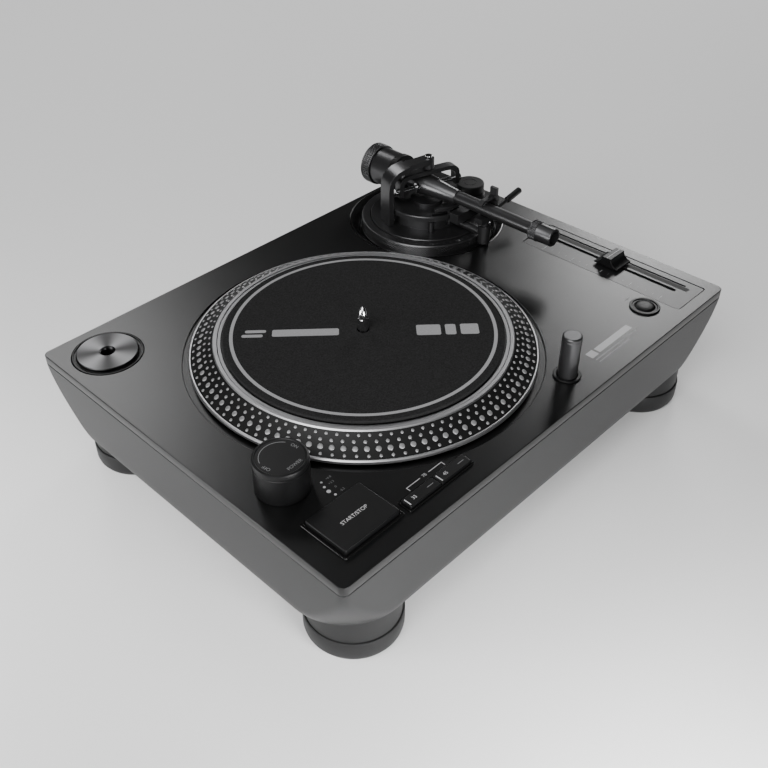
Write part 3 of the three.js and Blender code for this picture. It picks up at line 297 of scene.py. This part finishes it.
def polar(r, degrees, at=(0, 0)):
    """A point at a radius and an angle from a centre."""
    return (at[0] + r * math.cos(math.radians(degrees)), at[1] + r * math.sin(math.radians(degrees)))


def shape_of(data):
    """The mesh of a curve or a text, without its object."""
    source = bpy.data.objects.new(data.name + " outline", data)
    bpy.context.scene.collection.objects.link(source)
    graph = bpy.context.evaluated_depsgraph_get()
    mesh = bpy.data.meshes.new_from_object(source.evaluated_get(graph))
    bpy.data.objects.remove(source)
    return mesh


def plate(name, loops, low, high, mat, body, nodes=(), edge=0.0, lift=(0, 0)):
    """A flat plate from its outline and holes, with rounded edges; lift moves it in plan."""
    data = bpy.data.curves.new(name, "CURVE")
    data.dimensions = "2D"
    data.fill_mode = "BOTH"
    for pts in loops:
        spline = data.splines.new("POLY")
        spline.points.add(len(pts) - 1)
        for p, (x, y) in zip(spline.points, pts):
            p.co = ((x + lift[0]) / 1000, (y + lift[1]) / 1000, 0, 1)
        spline.use_cyclic_u = True
    data.extrude = ((high - low) / 2 - edge) / 1000
    data.bevel_depth = edge / 1000
    data.bevel_resolution = 2
    data.offset = -edge / 1000
    bm = bmesh.new()
    bm.from_mesh(shape_of(data))
    bmesh.ops.remove_doubles(bm, verts=bm.verts, dist=1e-7)
    obj = from_bmesh(name, bm, mat, 40, (0, 0, 1))
    obj.location = metres(0, 0, (low + high) / 2)
    return finish_piece(obj, body, nodes)


def printed(name, pts, mat, body, z=0.015, thick=0.03, lift=(0, 0)):
    """A printed patch with an outline of its own, thick enough to stand clear of the face."""
    plate(name, [pts], z - thick / 2, z + thick / 2, mat, body, lift=lift)


def fine_copy(node, mat, body, edge=0.3):
    """A CAD node's own shape with welded faces, rounded edges and a finish."""
    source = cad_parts[node]
    bm = bmesh.new()
    bm.from_mesh(source.data)
    bm.transform(source.matrix_world)
    bmesh.ops.remove_doubles(bm, verts=bm.verts, dist=2e-6)
    bmesh.ops.dissolve_limit(bm, angle_limit=math.radians(1), verts=bm.verts, edges=bm.edges)
    obj = from_bmesh(node + "_fine", bm, mat)
    if edge:
        bevelled(obj, edge)
    finish_piece(obj, body, [node])


def box_mesh(name, low, high, mat, body, edge=0.0, turn=0.0):
    """A block with round edges between two corners, turned about its middle's vertical."""
    bm = bmesh.new()
    bmesh.ops.create_cube(bm, size=1)
    size = [(b - a) / 1000 for a, b in zip(low, high)]
    bmesh.ops.scale(bm, vec=size, verts=bm.verts)
    obj = from_bmesh(name, bm, mat)
    obj.location = metres(*[(a + b) / 2 for a, b in zip(low, high)])
    obj.rotation_euler.z = math.radians(turn)
    if edge:
        bevelled(obj, edge)
    finish_piece(obj, body)


def label(name, text, size, at, turn, body, mat=legend):
    """A flat printed legend of generic words or numbers."""
    data = bpy.data.curves.new(name, "FONT")
    data.body = text
    data.size = size / 1000
    data.align_x = "CENTER"
    data.align_y = "CENTER"
    data.extrude = 0.00001
    mesh = shape_of(data)
    mesh.materials.clear()
    mesh.materials.append(mat)
    obj = bpy.data.objects.new(name, mesh)
    bpy.context.scene.collection.objects.link(obj)
    obj.rotation_euler.z = math.radians(turn)
    obj.location = metres(*at)
    finish_piece(obj, body)


def mark(name, x0, x1, y0, y1, face, body, mat=legend, turn=0.0):
    """A printed line or bar on a face at a height, between two corners, turned about its middle."""
    cx, cy = (x0 + x1) / 2, (y0 + y1) / 2
    spin = Matrix.Rotation(math.radians(turn), 2)
    corners = [spin @ Vector((x - cx, y - cy)) / 1000 for x, y in ((x0, y0), (x1, y0), (x1, y1), (x0, y1))]
    bm = bmesh.new()
    low = [bm.verts.new((c.x, c.y, -0.00001)) for c in corners]
    high = [bm.verts.new((c.x, c.y, 0.00001)) for c in corners]
    bm.faces.new(high)
    bm.faces.new(low[::-1])
    for i in range(4):
        j = (i + 1) % 4
        bm.faces.new((low[i], low[j], high[j], high[i]))
    obj = from_bmesh(name, bm, mat)
    obj.location = metres(cx, cy, face + RAISED_BY)
    finish_piece(obj, body)


def knurl(teeth, depth, low, high, rise):
    """A wave that cuts diamond knurling into the band between two heights."""
    def wave(r, z, a):
        if not low <= z <= high:
            return r
        t = (z - low) / rise * math.pi
        return r - depth * (0.5 + 0.25 * (math.cos(teeth * a + t) + math.cos(teeth * a - t)))
    return wave


# --------------------------------------------------------------- deck plate
def crossing_outline():
    """The platter's recess and the arm's well, which just cross, as one outline."""
    dx, dy = ARM[0] - PLATTER[0], ARM[1] - PLATTER[1]
    gap = math.hypot(dx, dy)
    way = math.degrees(math.atan2(dy, dx))
    t = math.degrees(math.acos((gap**2 + PAN**2 - WELL**2) / (2 * gap * PAN)))
    u = math.degrees(math.acos((gap**2 + WELL**2 - PAN**2) / (2 * gap * WELL)))
    first = circle(*PLATTER, PAN, 200, way + t, way + 360 - t)
    second = circle(*ARM, WELL, 140, way + 180 + u, way + 540 - u)
    return first + second[1:-1]


deck_holes = [
    rounded(0, 0, WIDE, DEEP, CORNER, 12),
    crossing_outline(),
    circle(*ADAPTOR, SEAT),
    circle(*LAMP, 7.6, 48),
    circle(*RESET, 9.6, 48),
    circle(*POWER, 7.4, 48),
    rounded(*START, START_KEY[0] + 1.2, START_KEY[1] + 1.2, 1),
    rounded(*SPEED, SPEED_FRAME[0] - 1, SPEED_FRAME[1] - 1, 1),
    rounded(*FADER, FADER_PANEL[0] + 0.5, FADER_PANEL[1] + 0.5, 1.9),
]
plate("deck_plate", deck_holes, DECK_UNDER, 0, deck_paint, "base", ["top_plate"], edge=0.45)
pan = [(116.2, -1.2), (122, -1.2), (122, -3), (118.7, -3.4), (118.7, -13.5), (36, -13.5), (36, -11),
       (116.2, -11)]
turned("platter_pan", pan, deck_paint, (*PLATTER, 0), "base", segments=192)
# The seat's floor shows in the gap round the puck and is painted shade in the darker matte black.
seat = [(0, -5), (SEAT, -5), (SEAT, -1), (25.6, -1), (25.6, -7.6), (0, -7.6)]
turned("adaptor_cup", seat, black_and_recess_shade, (*ADAPTOR, 0), "base", segments=96)
# The pocket under the fader's slots is painted shade in the same matte black.
box_mesh("fader_pocket", (FADER[0] - 18.5, FADER[1] - 68.5, -3), (FADER[0] + 18.5, FADER[1] + 68.5, -1.85),
         black_and_recess_shade, "base")


# ------------------------------------------------------------- plinth, feet
def plinth_levels(tall):
    """The shell's section as (share of the way down, inset, height above its underside) steps."""
    outside = [(1, 1.5, 0), (1, 0.4, 0.5), (1, 0, 1.5)]
    outside += [(1 - i / 10, 0, tall * i / 10) for i in range(1, 10)]
    outside += [(0, 0, tall - 0.4), (0, 0.4, tall)]
    inside = [(0, 4, tall), (0.5, 4, tall / 2), (1, 4, 0)]
    return outside + inside


def plinth():
    """The hollow shell under the deck, whose corners grow rounder on the way down."""
    low, high = heights("plinth")
    bm = bmesh.new()
    loops = []
    for down, inset, rise in plinth_levels(high - low):
        shrink = 2 * (inset + 1.2 * down)
        r = max(CORNER + (LOW_CORNER - CORNER) * down**SWELL - inset, 1)
        pts = rounded(0, 0, WIDE - shrink, DEEP - shrink, r, 20)
        loops.append([bm.verts.new((x / 1000, y / 1000, (low + rise) / 1000)) for x, y in pts])
    for k in range(len(loops)):
        a, b = loops[k], loops[(k + 1) % len(loops)]
        for i in range(len(a)):
            j = (i + 1) % len(a)
            bm.faces.new((a[i], a[j], b[j], b[i]))
    obj = from_bmesh("plinth_shell", bm, side_paint, 40)
    obj.location = metres(0, 0, 0)
    cut_panel_opening(obj)
    finish_piece(obj, "base", ["plinth"])


def cut_panel_opening(shell):
    """Cuts the rear panel's opening, 0.3 mm wider all round than the panel."""
    a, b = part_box("rear_panel")
    bm = bmesh.new()
    bmesh.ops.create_cube(bm, size=1)
    bmesh.ops.scale(bm, vec=(b[0] - a[0] + 0.0006, 0.03, b[2] - a[2] + 0.0006), verts=bm.verts)
    tool = from_bmesh("panel tool", bm, side_paint)
    tool.location = ((a[0] + b[0]) / 2, b[1], (a[2] + b[2]) / 2)
    mod = shell.modifiers.new("opening", "BOOLEAN")
    mod.object = tool
    mod.solver = "EXACT"
    graph = bpy.context.evaluated_depsgraph_get()
    mesh = bpy.data.meshes.new_from_object(shell.evaluated_get(graph))
    shell.modifiers.clear()
    shell.data = mesh
    bpy.data.objects.remove(tool)


def foot(tag):
    """One foot: a wide cup with a rounded sole, and the neck and stud that carry the case."""
    at = (*centre("foot_cup_" + tag), FLOOR)
    cup = [(0, 0), (25, 0), (27.3, 0.6), (29, 2), (30.1, 3.8), (30.6, 6), (30.6, 16), (30.3, 16.7),
           (29.8, 17), (0, 17)]
    turned("foot_rubber_" + tag, cup, rubber, at, "foot_" + tag, ["foot_cup_" + tag], 96)
    stem = [(0, 17.3), (29.2, 17.3), (29.4, 17.6), (29.4, 37.3), (4, 37.3), (4, 53.3), (0, 53.3)]
    turned("foot_neck_" + tag, stem, rubber, at, "foot_" + tag, ["foot_stem_" + tag], 80)


plinth()
for end in ("front", "rear"):
    for side in ("left", "right"):
        foot(f"{end}_{side}")

# ------------------------------------------------------------------ platter
platter_outline = [
    (3.9, PLATTER_TOP), (94.2, PLATTER_TOP), (94.2, 12), (96.1, 12.1), (96.2, 11.7), (96.6, 11.7),
    (96.7, 12.5), (98.9, 12.6), SLOPE_TOP, SLOPE_FOOT, (114.7, 3.6), (115.4, 3.6), (116.2, 2.9),
    (116.2, 1.2), (115.8, 0.8), (110.2, 0.8), (93.6, PLATTER_HOLLOW), (15, PLATTER_HOLLOW),
    (15, HUB_END), (3.9, HUB_END),
]
# The slope, a groove beside the rim and the face under the mat are dark.
turned("platter_disc", platter_outline, [silver, slope_paint], (*PLATTER, 0), "platter_body",
       ["platter"], segments=256, bands={0: 1, 4: 1, 8: 1})


def raised_dot(bm, place, radius):
    """A dot with a rounded top, 0.4 mm proud of the face that its place turns it to."""
    rings = []
    for r, h in ((radius, -0.1), (radius, 0.12), (radius * 0.86, 0.3), (radius * 0.5, 0.4)):
        points = [Vector((*polar(r, 22.5 * k), h)) for k in range(16)]
        rings.append([bm.verts.new((place @ p) / 1000) for p in points])
    for a, b in zip(rings, rings[1:]):
        for k in range(16):
            bm.faces.new((a[k], a[(k + 1) % 16], b[(k + 1) % 16], b[k]))
    bm.faces.new(rings[-1])
    bm.faces.new(rings[0][::-1])


def strobe_dots():
    """Four rows of raised silver dots on the platter's slope."""
    inner, outer = Vector(SLOPE_TOP), Vector(SLOPE_FOOT)
    lean = math.atan2(inner.y - outer.y, outer.x - inner.x)
    bm = bmesh.new()
    # Each row: its share of the way down the slope, its dots' radius, and its shift in dots.
    rows = [(0.13, 0.95, 0.0), (0.36, 1.1, -0.42), (0.615, 1.75, -0.28), (0.87, 1.0, -0.14)]
    for share, radius, shift in rows:
        spot = inner.lerp(outer, share)
        out = Matrix.Translation((spot.x, 0, spot.y)) @ Matrix.Rotation(lean, 4, "Y")
        for i in range(100):
            angle = 2 * math.pi * (i + shift) / 100
            raised_dot(bm, Matrix.Rotation(angle, 4, "Z") @ out, radius)
    obj = from_bmesh("strobe_dots", bm, dot_metal, 60)
    obj.location = metres(*PLATTER, 0)
    finish_piece(obj, "platter_body")


strobe_dots()

mat_low, mat_top = heights("slipmat")
mat_outline = [(4.1, mat_low), (92.7, mat_low), (93, mat_low + 0.4), (93, mat_top - 0.6),
               (92.5, mat_top - 0.1), (92, mat_top), (4.3, mat_top)]
turned("slipmat_felt", mat_outline, felt, (*PLATTER, 0), "slipmat_body", ["slipmat"], segments=192)
plate("slipmat_ring", [circle(*PLATTER, 88.2, 192), circle(*PLATTER, 85.9, 192)], mat_top - 0.02,
      mat_top + 0.02, ink, "slipmat_body")
# Plain bars stand where the mat is printed.
mat_bars = [(-80, -66, -6.5, -3.4), (-78, -64, -1.6, 1.5), (-60, -16, -6.2, 1.4), (35, 51, -8.5, 3),
            (54, 61, -8.5, 3), (64, 76, -8.5, 3)]
for n, (x0, x1, y0, y1) in enumerate(mat_bars):
    pts = rounded((x0 + x1) / 2, (y0 + y1) / 2, x1 - x0, y1 - y0, 1.4, 5)
    turn = Matrix.Rotation(math.radians(MAT_TURN), 2)
    pts = [tuple(turn @ Vector(p)) for p in pts]
    printed(f"slipmat_bar_{n}", pts, ink, "slipmat_body", mat_top, 0.04, lift=PLATTER)

tip = heights("spindle")[1]
# Drops below the tip, from the pin's shoulder up over its groove to its rounded end.
pin_end = [(3.55, 9), (3.3, 8.6), (3.1, 8.5), (3.1, 8.1), (3.3, 8), (3.5, 7.6), (3.4, 6), (2.9, 4),
           (2.1, 2.2), (1.2, 0.7), (0.6, 0.1), (0, 0)]
spindle_outline = [(0, -30), (3.55, -30)] + [(r, tip - drop) for r, drop in pin_end]
turned("spindle_pin", spindle_outline, chrome, (*PLATTER, 0), "platter_body", ["spindle"],
       segments=48)

# ------------------------------------------------------------------ adaptor
# The puck's top carries the painted sheen: light and dark fans in its colour.
puck = [(3.9, -4.7), (20.6, -4.7), (20.6, 1.5), (20.1, 2), (5.4, 2), (4.4, 1.4), (3.9, 0.4)]
turned("adaptor_puck", puck, sheen_fan_disc_metal, (*ADAPTOR, 0), "adaptor_body", ["adaptor_45"], 128)
adaptor_rim = [(21, -4.7), (23.6, -4.7), (23.6, 0.1), (23.3, 0.3), (22.8, 0.3), (22.6, -0.4),
               (21.6, -0.4), (21.4, 0.1), (21, 0.1)]
turned("adaptor_trim", adaptor_rim, plastic, (*ADAPTOR, 0), "base", ["adaptor_ring"], 128)

# --------------------------------------------------------------- power knob
housing = [(0, -9), (7, -9), (7, 0.3), (15.9, 0.3), (16.3, 0.7), (16.3, 18.6), (16, 18.9), (0, 18.9)]
turned("power_housing", housing, plastic, (*POWER, 0), "base", ["strobe_housing"], 96)
cap = [(0, 19.2), (16.1, 19.2), (16.3, 19.4), (16.3, 22), (16, CAP_TOP), (15.2, 23.2), (14.6, 23.2),
       (14.2, CAP_TOP), (0, CAP_TOP)]
turned("power_cap", cap, plastic, (*POWER, 0), "power_body", ["power_knob"], 96)
for word, reach, angle, turn in (("POWER", 10.6, -82, 4), ("ON", 11.4, 4, -82), ("OFF", 11.4, 188, 98)):
    label("word_" + word.lower(), word, 3.1, (*polar(reach, angle, POWER), CAP_TOP + 0.03), turn,
          "power_body", dim_legend)
arc = circle(*POWER, 12.2, 24, 34, 160) + circle(*POWER, 11.8, 24, 34, 160)[::-1]
printed("power_arc", arc, dim_legend, "power_body", CAP_TOP + 0.03, 0.04)


# --------------------------------------------------------- start, speed keys
def widened(size, by):
    """A width and depth, each greater by the same amount."""
    return size[0] + by, size[1] + by


start_edges = [rounded(*START, *widened(START_KEY, 4.4), 1.4), rounded(*START, *widened(START_KEY, 0.6), 0.7)]
plate("start_frame", start_edges, -6, 1.2, gloss, "base", ["start_stop_bezel"], edge=0.25)
plate("start_key", [rounded(*START, *START_KEY, 1)], -3.6, START_TOP, plastic, "start_body",
      ["start_stop_button"], edge=0.5)
label("word_start", "START/STOP", 3.5, (START[0] + 1, START[1] - 0.5, START_TOP + RAISED_BY), 0, "start_body")

key_places = {"33": SPEED[0] - SPEED_APART, "45": SPEED[0] + SPEED_APART}
key_holes = [rounded(x, SPEED[1], *widened(SPEED_KEY, 0.6), 0.5) for x in key_places.values()]
plate("speed_frame", [rounded(*SPEED, *SPEED_FRAME, 1.2)] + key_holes, -6, 1.1, gloss, "base",
      ["speed_bezel"], edge=0.15)
for number, x in key_places.items():
    y, body = SPEED[1], f"speed_{number}_body"
    plate("speed_key_" + number, [rounded(x, y, *SPEED_KEY, 0.7)], -3.6, SPEED_TOP, plastic, body,
          ["speed_button_" + number], edge=0.35)
    label("word_" + number, number, 3.3, (x - 5.6, y, SPEED_TOP + RAISED_BY), 0, body)
    mark("lamp_" + number, x - 11.4, x - 10.7, y - 2.6, y + 2.6, SPEED_TOP, body)
    mark("bar_" + number, x + 5, x + 10, y - 0.2, y + 0.2, SPEED_TOP, body, dim_legend)
# A printed bracket joins the two keys round the number that both together give.
bx, by = SPEED[0], SPEED[1] + 9.2
mark("bracket_left", bx - 15, bx - 3.6, by, by + 0.5, 0, "base")
mark("bracket_right", bx + 3.6, bx + 15, by, by + 0.5, 0, "base")
mark("bracket_end_left", bx - 15, bx - 14.5, by - 2.6, by, 0, "base")
mark("bracket_end_right", bx + 14.5, bx + 15, by - 2.6, by, 0, "base")
label("word_78", "78", 3, (bx, by + 0.2, RAISED_BY), 0, "base")

# Strobe key: dots of the four rows' sizes with their speeds.
kx, ky = START[0] + 8, START[1] + 27
key_rows = [(0.4, 6.5, 0.7, "+6.0"), (-1, 2.6, 0.8, "+3.3"), (-1.6, -1.6, 1.3, "0"), (-0.6, -6, 0.8, "-3.3")]
for n, (dx, dy, r, text) in enumerate(key_rows):
    printed(f"key_dot_{n}", circle(kx + dx, ky + dy, r, 20), legend, "base")
    label(f"key_word_{n}", text, 2.2, (kx + dx + 5.4, ky + dy, RAISED_BY), 0, "base", dim_legend)

# ------------------------------------------------------- target light, reset
socket = [(6.7, -12), (7.2, -12), (7.2, 0.3), (9.1, 0.3), (9.1, 0.9), (8.7, 1.2), (7.1, 1.2), (6.7, 0.9)]
turned("lamp_socket", socket, plastic, (*LAMP, 0), "base", ["target_light_ring"], 72)
barrel = [(0, -10), (6.3, -10), (6.3, 28.6), (6.1, 28.8), (6.1, 29.1), (6.3, 29.3), (6.3, 30.7),
          (5.8, 31.3), (5.2, 31.5), (0, 31.5)]
turned("lamp_barrel", barrel, arm_paint, (*LAMP, 0), "lamp_body", ["target_light"], 72)
# The lens looks at the platter's middle, and stays inside the socket when the light is down.
way = math.degrees(math.atan2(PLATTER[1] - LAMP[1], PLATTER[0] - LAMP[0]))
lx, ly = polar(6.1, way, LAMP)
box_mesh("lamp_lens", (lx - 0.25, ly - 1.6, 24.4), (lx + 0.25, ly + 1.6, 27.6), gloss, "lamp_body", 0.15, way)
gx, gy = polar(6.25, -20, LAMP)
box_mesh("lamp_slit", (gx - 0.06, gy - 0.5, 4), (gx + 0.06, gy + 0.5, 27), dim_legend, "lamp_body", 0, -20)

bezel = [(6.8, -6), (9.2, -6), (9.2, 0.3), (10.6, 0.3), (10.6, 0.9), (10.2, 1.2), (8.9, 1.2), (8.4, 0.6),
         (7.4, 0.6), (6.8, 0.9)]
turned("reset_bezel", bezel, plastic, (*RESET, 0), "base", ["reset_ring"], 72)
dome = [(0, -4.6), (6.4, -4.6), (6.4, 0.9), (6.1, 1.15), (5, 1.4), (3, 1.55), (0, 1.6)]
turned("reset_dome", dome, plastic, (*RESET, 0), "reset_body", ["reset_button"], 64)

# -------------------------------------------------------------- pitch fader
fx, fy = FADER
slot_x = KNOB[0]
slots = [rounded(slot_x, fy, 3.2, 106.6, 1), rounded(slot_x + 9.6, fy + 2, 1.6, 116, 0.7)]
plate("fader_panel", [rounded(fx, fy, *FADER_PANEL, 1.6)] + slots, -1.5, FADER_TOP, trim, "base",
      ["fader_plate"], edge=0.15)
rail = rounded(slot_x + 6, fy + 1, 4.6, 122, 0.8)
plate("fader_rail", [rail], FADER_TOP, FADER_TOP + 0.06, black_and_recess_shade, "base")
fine_copy("fader_body", black_and_recess_shade, "base", 0)
fine_copy("fader_knob", plastic, "fader_knob_body", 0.35)
mark("fader_line", slot_x - 8.6, slot_x + 8.6, KNOB[1] - 0.25, KNOB[1] + 0.25, 8.4, "fader_knob_body")
for k in range(-8, 9):
    whole = k % 4 == 0
    half, y = 1.7 if whole else 1, fy + 6.25 * k
    mark(f"scale_{k + 8}", fx - 12 - half, fx - 12 + half, y - 0.12, y + 0.12, FADER_TOP, "base",
         legend if whole else dim_legend)
    if whole:
        label(f"scale_word_{k + 8}", str(abs(2 * k)), 2.6, (fx - 15.6, y, FADER_TOP + RAISED_BY), 0, "base",
              dim_legend)
label("word_reset", "RESET", 2.6, (RESET[0], RESET[1] + 14, RAISED_BY), 0, "base", dim_legend)
# Plain bars stand where the deck is printed: two solid ones over two thin lines.
deck_bars = [(57, 64, -124, -118, legend), (66, 104, -123.5, -118.5, legend), (57, 104, -127, -126, ink),
             (57, 92, -129.6, -128.8, ink)]
for n, (x0, x1, y0, y1, mat) in enumerate(deck_bars):
    pts = rounded((x0 + x1) / 2, (y0 + y1) / 2, x1 - x0, y1 - y0, 0.5, 4)
    printed(f"deck_bar_{n}", pts, mat, "base")

# ----------------------------------------------------------- tonearm's base
well = [(61.1, -0.2), (60.6, -0.1), (59.6, -0.2), (59.2, -0.5), (58.6, -1), (57.2, -2), (56, -3.2),
        (55, -4.6), (54.2, -5.6), (53.4, -6.2), (52.4, -6.4), (36.2, -6.4), (36.2, -8.8), (59.1, -8.8),
        (59.1, -1.7), (61.1, -1.7)]
turned("well_dish", well, gloss, (*ARM, 0), "base", ["arm_well"], 192)
dial = [(35.2, -6.1), (51.6, -6.1), (52.1, -5.7)]
dial += [(52.3, -5.4 + 0.45 * i) for i in range(20)]
dial += [(52.1, 3.5), (51.7, 4.1), (51.2, DIAL_TOP), (45.6, DIAL_TOP), (45.6, 1.2), (35.2, 1.2)]
turned("height_dial", dial, arm_paint, (*ARM, 0), "height_ring_body", ["height_ring"], 640,
       wave=knurl(160, 0.7, -5.2, 3.0, 0.9))
for k in range(24):
    angle = 200 + k * 6.2
    x, y = polar(48.6, angle, ARM)
    half = 1.1 if k % 4 == 0 else 0.65
    mark(f"height_tick_{k}", x - half, x + half, y - 0.1, y + 0.1, DIAL_TOP, "height_ring_body",
         dim_legend, angle)
for k, angle in enumerate((224.8, 249.6, 274.4)):
    label(f"height_word_{k}", str(k + 1), 2.8, (*polar(49.3, angle + 2.4, ARM), DIAL_TOP + RAISED_BY),
          angle + 90, "height_ring_body")

for node, body, edge in (
    ("arm_base", "arm_base_body", 0.3),
    ("pivot_bracket", "arm_base_body", 0.5),
    ("gimbal_yoke", "gimbal_body", 0.5),
    ("lift_housing", "arm_base_body", 0.5),
    ("lift_bar", "lift_bar_body", 0.4),
    ("cue_lever", "cue_lever_body", 0.3),
    ("arm_rest", "arm_base_body", 0.3),
    ("rest_clip", "rest_clip_body", 0.25),
):
    fine_copy(node, arm_paint, body, edge)
for side in ("top", "left", "right"):
    body = "arm_base_body" if side == "top" else "gimbal_body"
    fine_copy("pivot_screw_" + side, chrome, body, 0.2)
low, high = heights("anti_skate_dial")
knob = [(0, low), (11.4, low), (11.4, high - 1), (11.1, high - 0.3), (10.4, high), (5.4, high),
        (5.3, high - 0.2), (4.9, high - 0.2), (4.8, high), (0, high)]
turned("skate_knob", knob, plastic, (*SKATE, 0), "skate_body", ["anti_skate_dial"], 72)


# ----------------------------------------------------------------- the arm
def arm_turned(name, outline, mat, body, node, segments=72, wave=None):
    """A piece turned about the tonearm's axis; its heights run towards the arm's rear."""
    at = (*ARM, ARM_HEIGHT)
    turned(name, outline, mat, at, body, [node], segments, wave=wave, along="Y")


tube = [(0, -107), (5, -107), (5, -33.2), (4.5, -33), (4.5, -31.2), (5.1, -31), (5.35, -30.6), (9.05, 4),
        (9.2, 4.7), (9, 5), (7.6, 5), (7.6, 15.8), (6.6, 17), (4, 17), (4, 63.8), (3.4, 64.6), (0, 64.6)]
arm_turned("arm_wand", tube, arm_paint, "arm_body", "arm_tube", segments=64)
trunnion = [(0, -10.6), (3.2, -10.6), (3.2, 10.6), (0, 10.6)]
pin = turned("arm_trunnion", trunnion, chrome, (*ARM, ARM_HEIGHT), "arm_body", segments=32)
pin.rotation_euler = (0, math.radians(90), math.radians(-18))
collar = [(5.2, -121.4), (6.3, -121.4), (6.65, -121.1), (6.8, -120.6), (6.8, -109.2), (7, -108.8)]
collar += [(7.3, -108.6 + 0.25 * i) for i in range(24)]
collar += [(6.9, -102.4), (5.3, -102.4), (5.3, -107.3), (5.2, -107.3)]
arm_turned("collar_nut", collar, arm_paint, "collar_body", "headshell_collar", segments=192,
           wave=knurl(32, 0.6, -108.4, -102.9, 0.9))
weight = [(4.3, 25.4), (10.4, 25.4), (10.4, 31.6), (14.4, 31.6), (14.8, 32), (14.8, 48.6), (14.3, 49.1),
          (14.3, 49.5), (16, 49.6)]
weight += [(16.4, 50.2 + 0.4 * i) for i in range(20)]
weight += [(16.2, 58.2), (15.6, 58.8), (14.8, 59), (10, 59), (9.4, 59.4), (9.4, 62.2), (8.9, 62.8),
           (4.3, 62.8)]
arm_turned("weight_body", weight, arm_paint, "counterweight_body", "counterweight", segments=288,
           wave=knurl(56, 0.9, 50.2, 57.9, 1.4))
scale = [(10.7, 26), (14.8, 26), (15.3, 26.3), (15.4, 26.8), (15.4, 30.8), (15.1, 31.2), (10.7, 31.2)]
arm_turned("weight_scale", scale, plastic, "scale_ring_body", "scale_ring", segments=96)

# -------------------------------------------------------------------- rear
for node, mat, slot_name, edge in (
    ("rear_panel", cover, "cover", 0.2),
    ("mains_inlet", cover, "cover", 0.2),
    ("phono_socket_left", gold, "gold", 0.15),
    ("phono_socket_right", gold, "gold", 0.15),
    ("ground_terminal", steel, "steel", 0.15),
):
    fine_copy(node, mat, "base", edge)

# The pieces inside and below keep their CAD shapes.
for node, mat in (
    ("base_cover", cover),
    ("motor_housing", cast),
    ("stator", copper),
    ("rotor", magnet),
    ("main_board", board_green),
    ("power_supply", board_green),
):
    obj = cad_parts[node]
    obj.data.materials.clear()
    obj.data.materials.append(mat)

# ------------------------------------------------------------ floor and light
floor_mat = material("floor", (0.86, 0.86, 0.86), 0.9)
bm = bmesh.new()
bmesh.ops.create_grid(bm, x_segments=1, y_segments=1, size=12)
from_bmesh("floor", bm, floor_mat)

world = bpy.data.worlds.new("studio")
world.use_nodes = True
world.node_tree.nodes["Background"].inputs["Color"].default_value = (1, 1, 1, 1)
world.node_tree.nodes["Background"].inputs["Strength"].default_value = 0.025
bpy.context.scene.world = world


def softbox(name, azimuth, elevation, distance, size, power, aim=(0, 0, 0.09)):
    """A round area light at an azimuth from +Y towards +X, in degrees, aimed at a point in metres."""
    a, e = math.radians(azimuth), math.radians(elevation)
    way = Vector((math.sin(a) * math.cos(e), math.cos(a) * math.cos(e), math.sin(e)))
    data = bpy.data.lights.new(name, "AREA")
    data.shape = "DISK"
    data.size = size
    data.energy = power
    lamp = bpy.data.objects.new(name, data)
    lamp.location = Vector(aim) + way * distance
    lamp.rotation_euler = way.to_track_quat("Z", "Y").to_euler()
    bpy.context.scene.collection.objects.link(lamp)


softbox("back left", 16, 38, 2.4, 0.8, 14)
softbox("right", 68, 27, 2.4, 0.6, 14)
softbox("left", -106, 42, 3.0, 2.4, 90)
softbox("over", -40, 84, 3.0, 2.6, 9)
softbox("rear left side", -80, 14, 0.42, 0.25, 2.4, (-0.19, 0.13, 0.06))
softbox("front left corner", -172, 14, 0.32, 0.2, 2.6, (-0.16, -0.144, 0.06))

# ------------------------------------------------------------------- camera
CAMERA_AT = (-403.1, -375.9, 386.6)
AZIMUTH, ELEVATION, ROLL = (math.radians(v) for v in (-44.139, 38.861, -1.384))
camera_data = bpy.data.cameras.new("camera")
camera_data.sensor_width = 36
camera_data.lens = 45.41015625
camera_data.shift_x = 0.0357
camera_data.shift_y = 0.0009
camera_data.clip_start = 0.01
camera = bpy.data.objects.new("camera", camera_data)
bpy.context.scene.collection.objects.link(camera)
back = Vector((math.sin(AZIMUTH) * math.cos(ELEVATION), -math.cos(AZIMUTH) * math.cos(ELEVATION),
               math.sin(ELEVATION)))
level = Vector((math.cos(AZIMUTH), math.sin(AZIMUTH), 0))
steep = back.cross(level)
right = math.cos(ROLL) * level + math.sin(ROLL) * steep
up = -math.sin(ROLL) * level + math.cos(ROLL) * steep
turn = Matrix((right, up, back)).transposed().to_4x4()
camera.matrix_world = Matrix.Translation(metres(*CAMERA_AT)) @ turn
bpy.context.scene.camera = camera
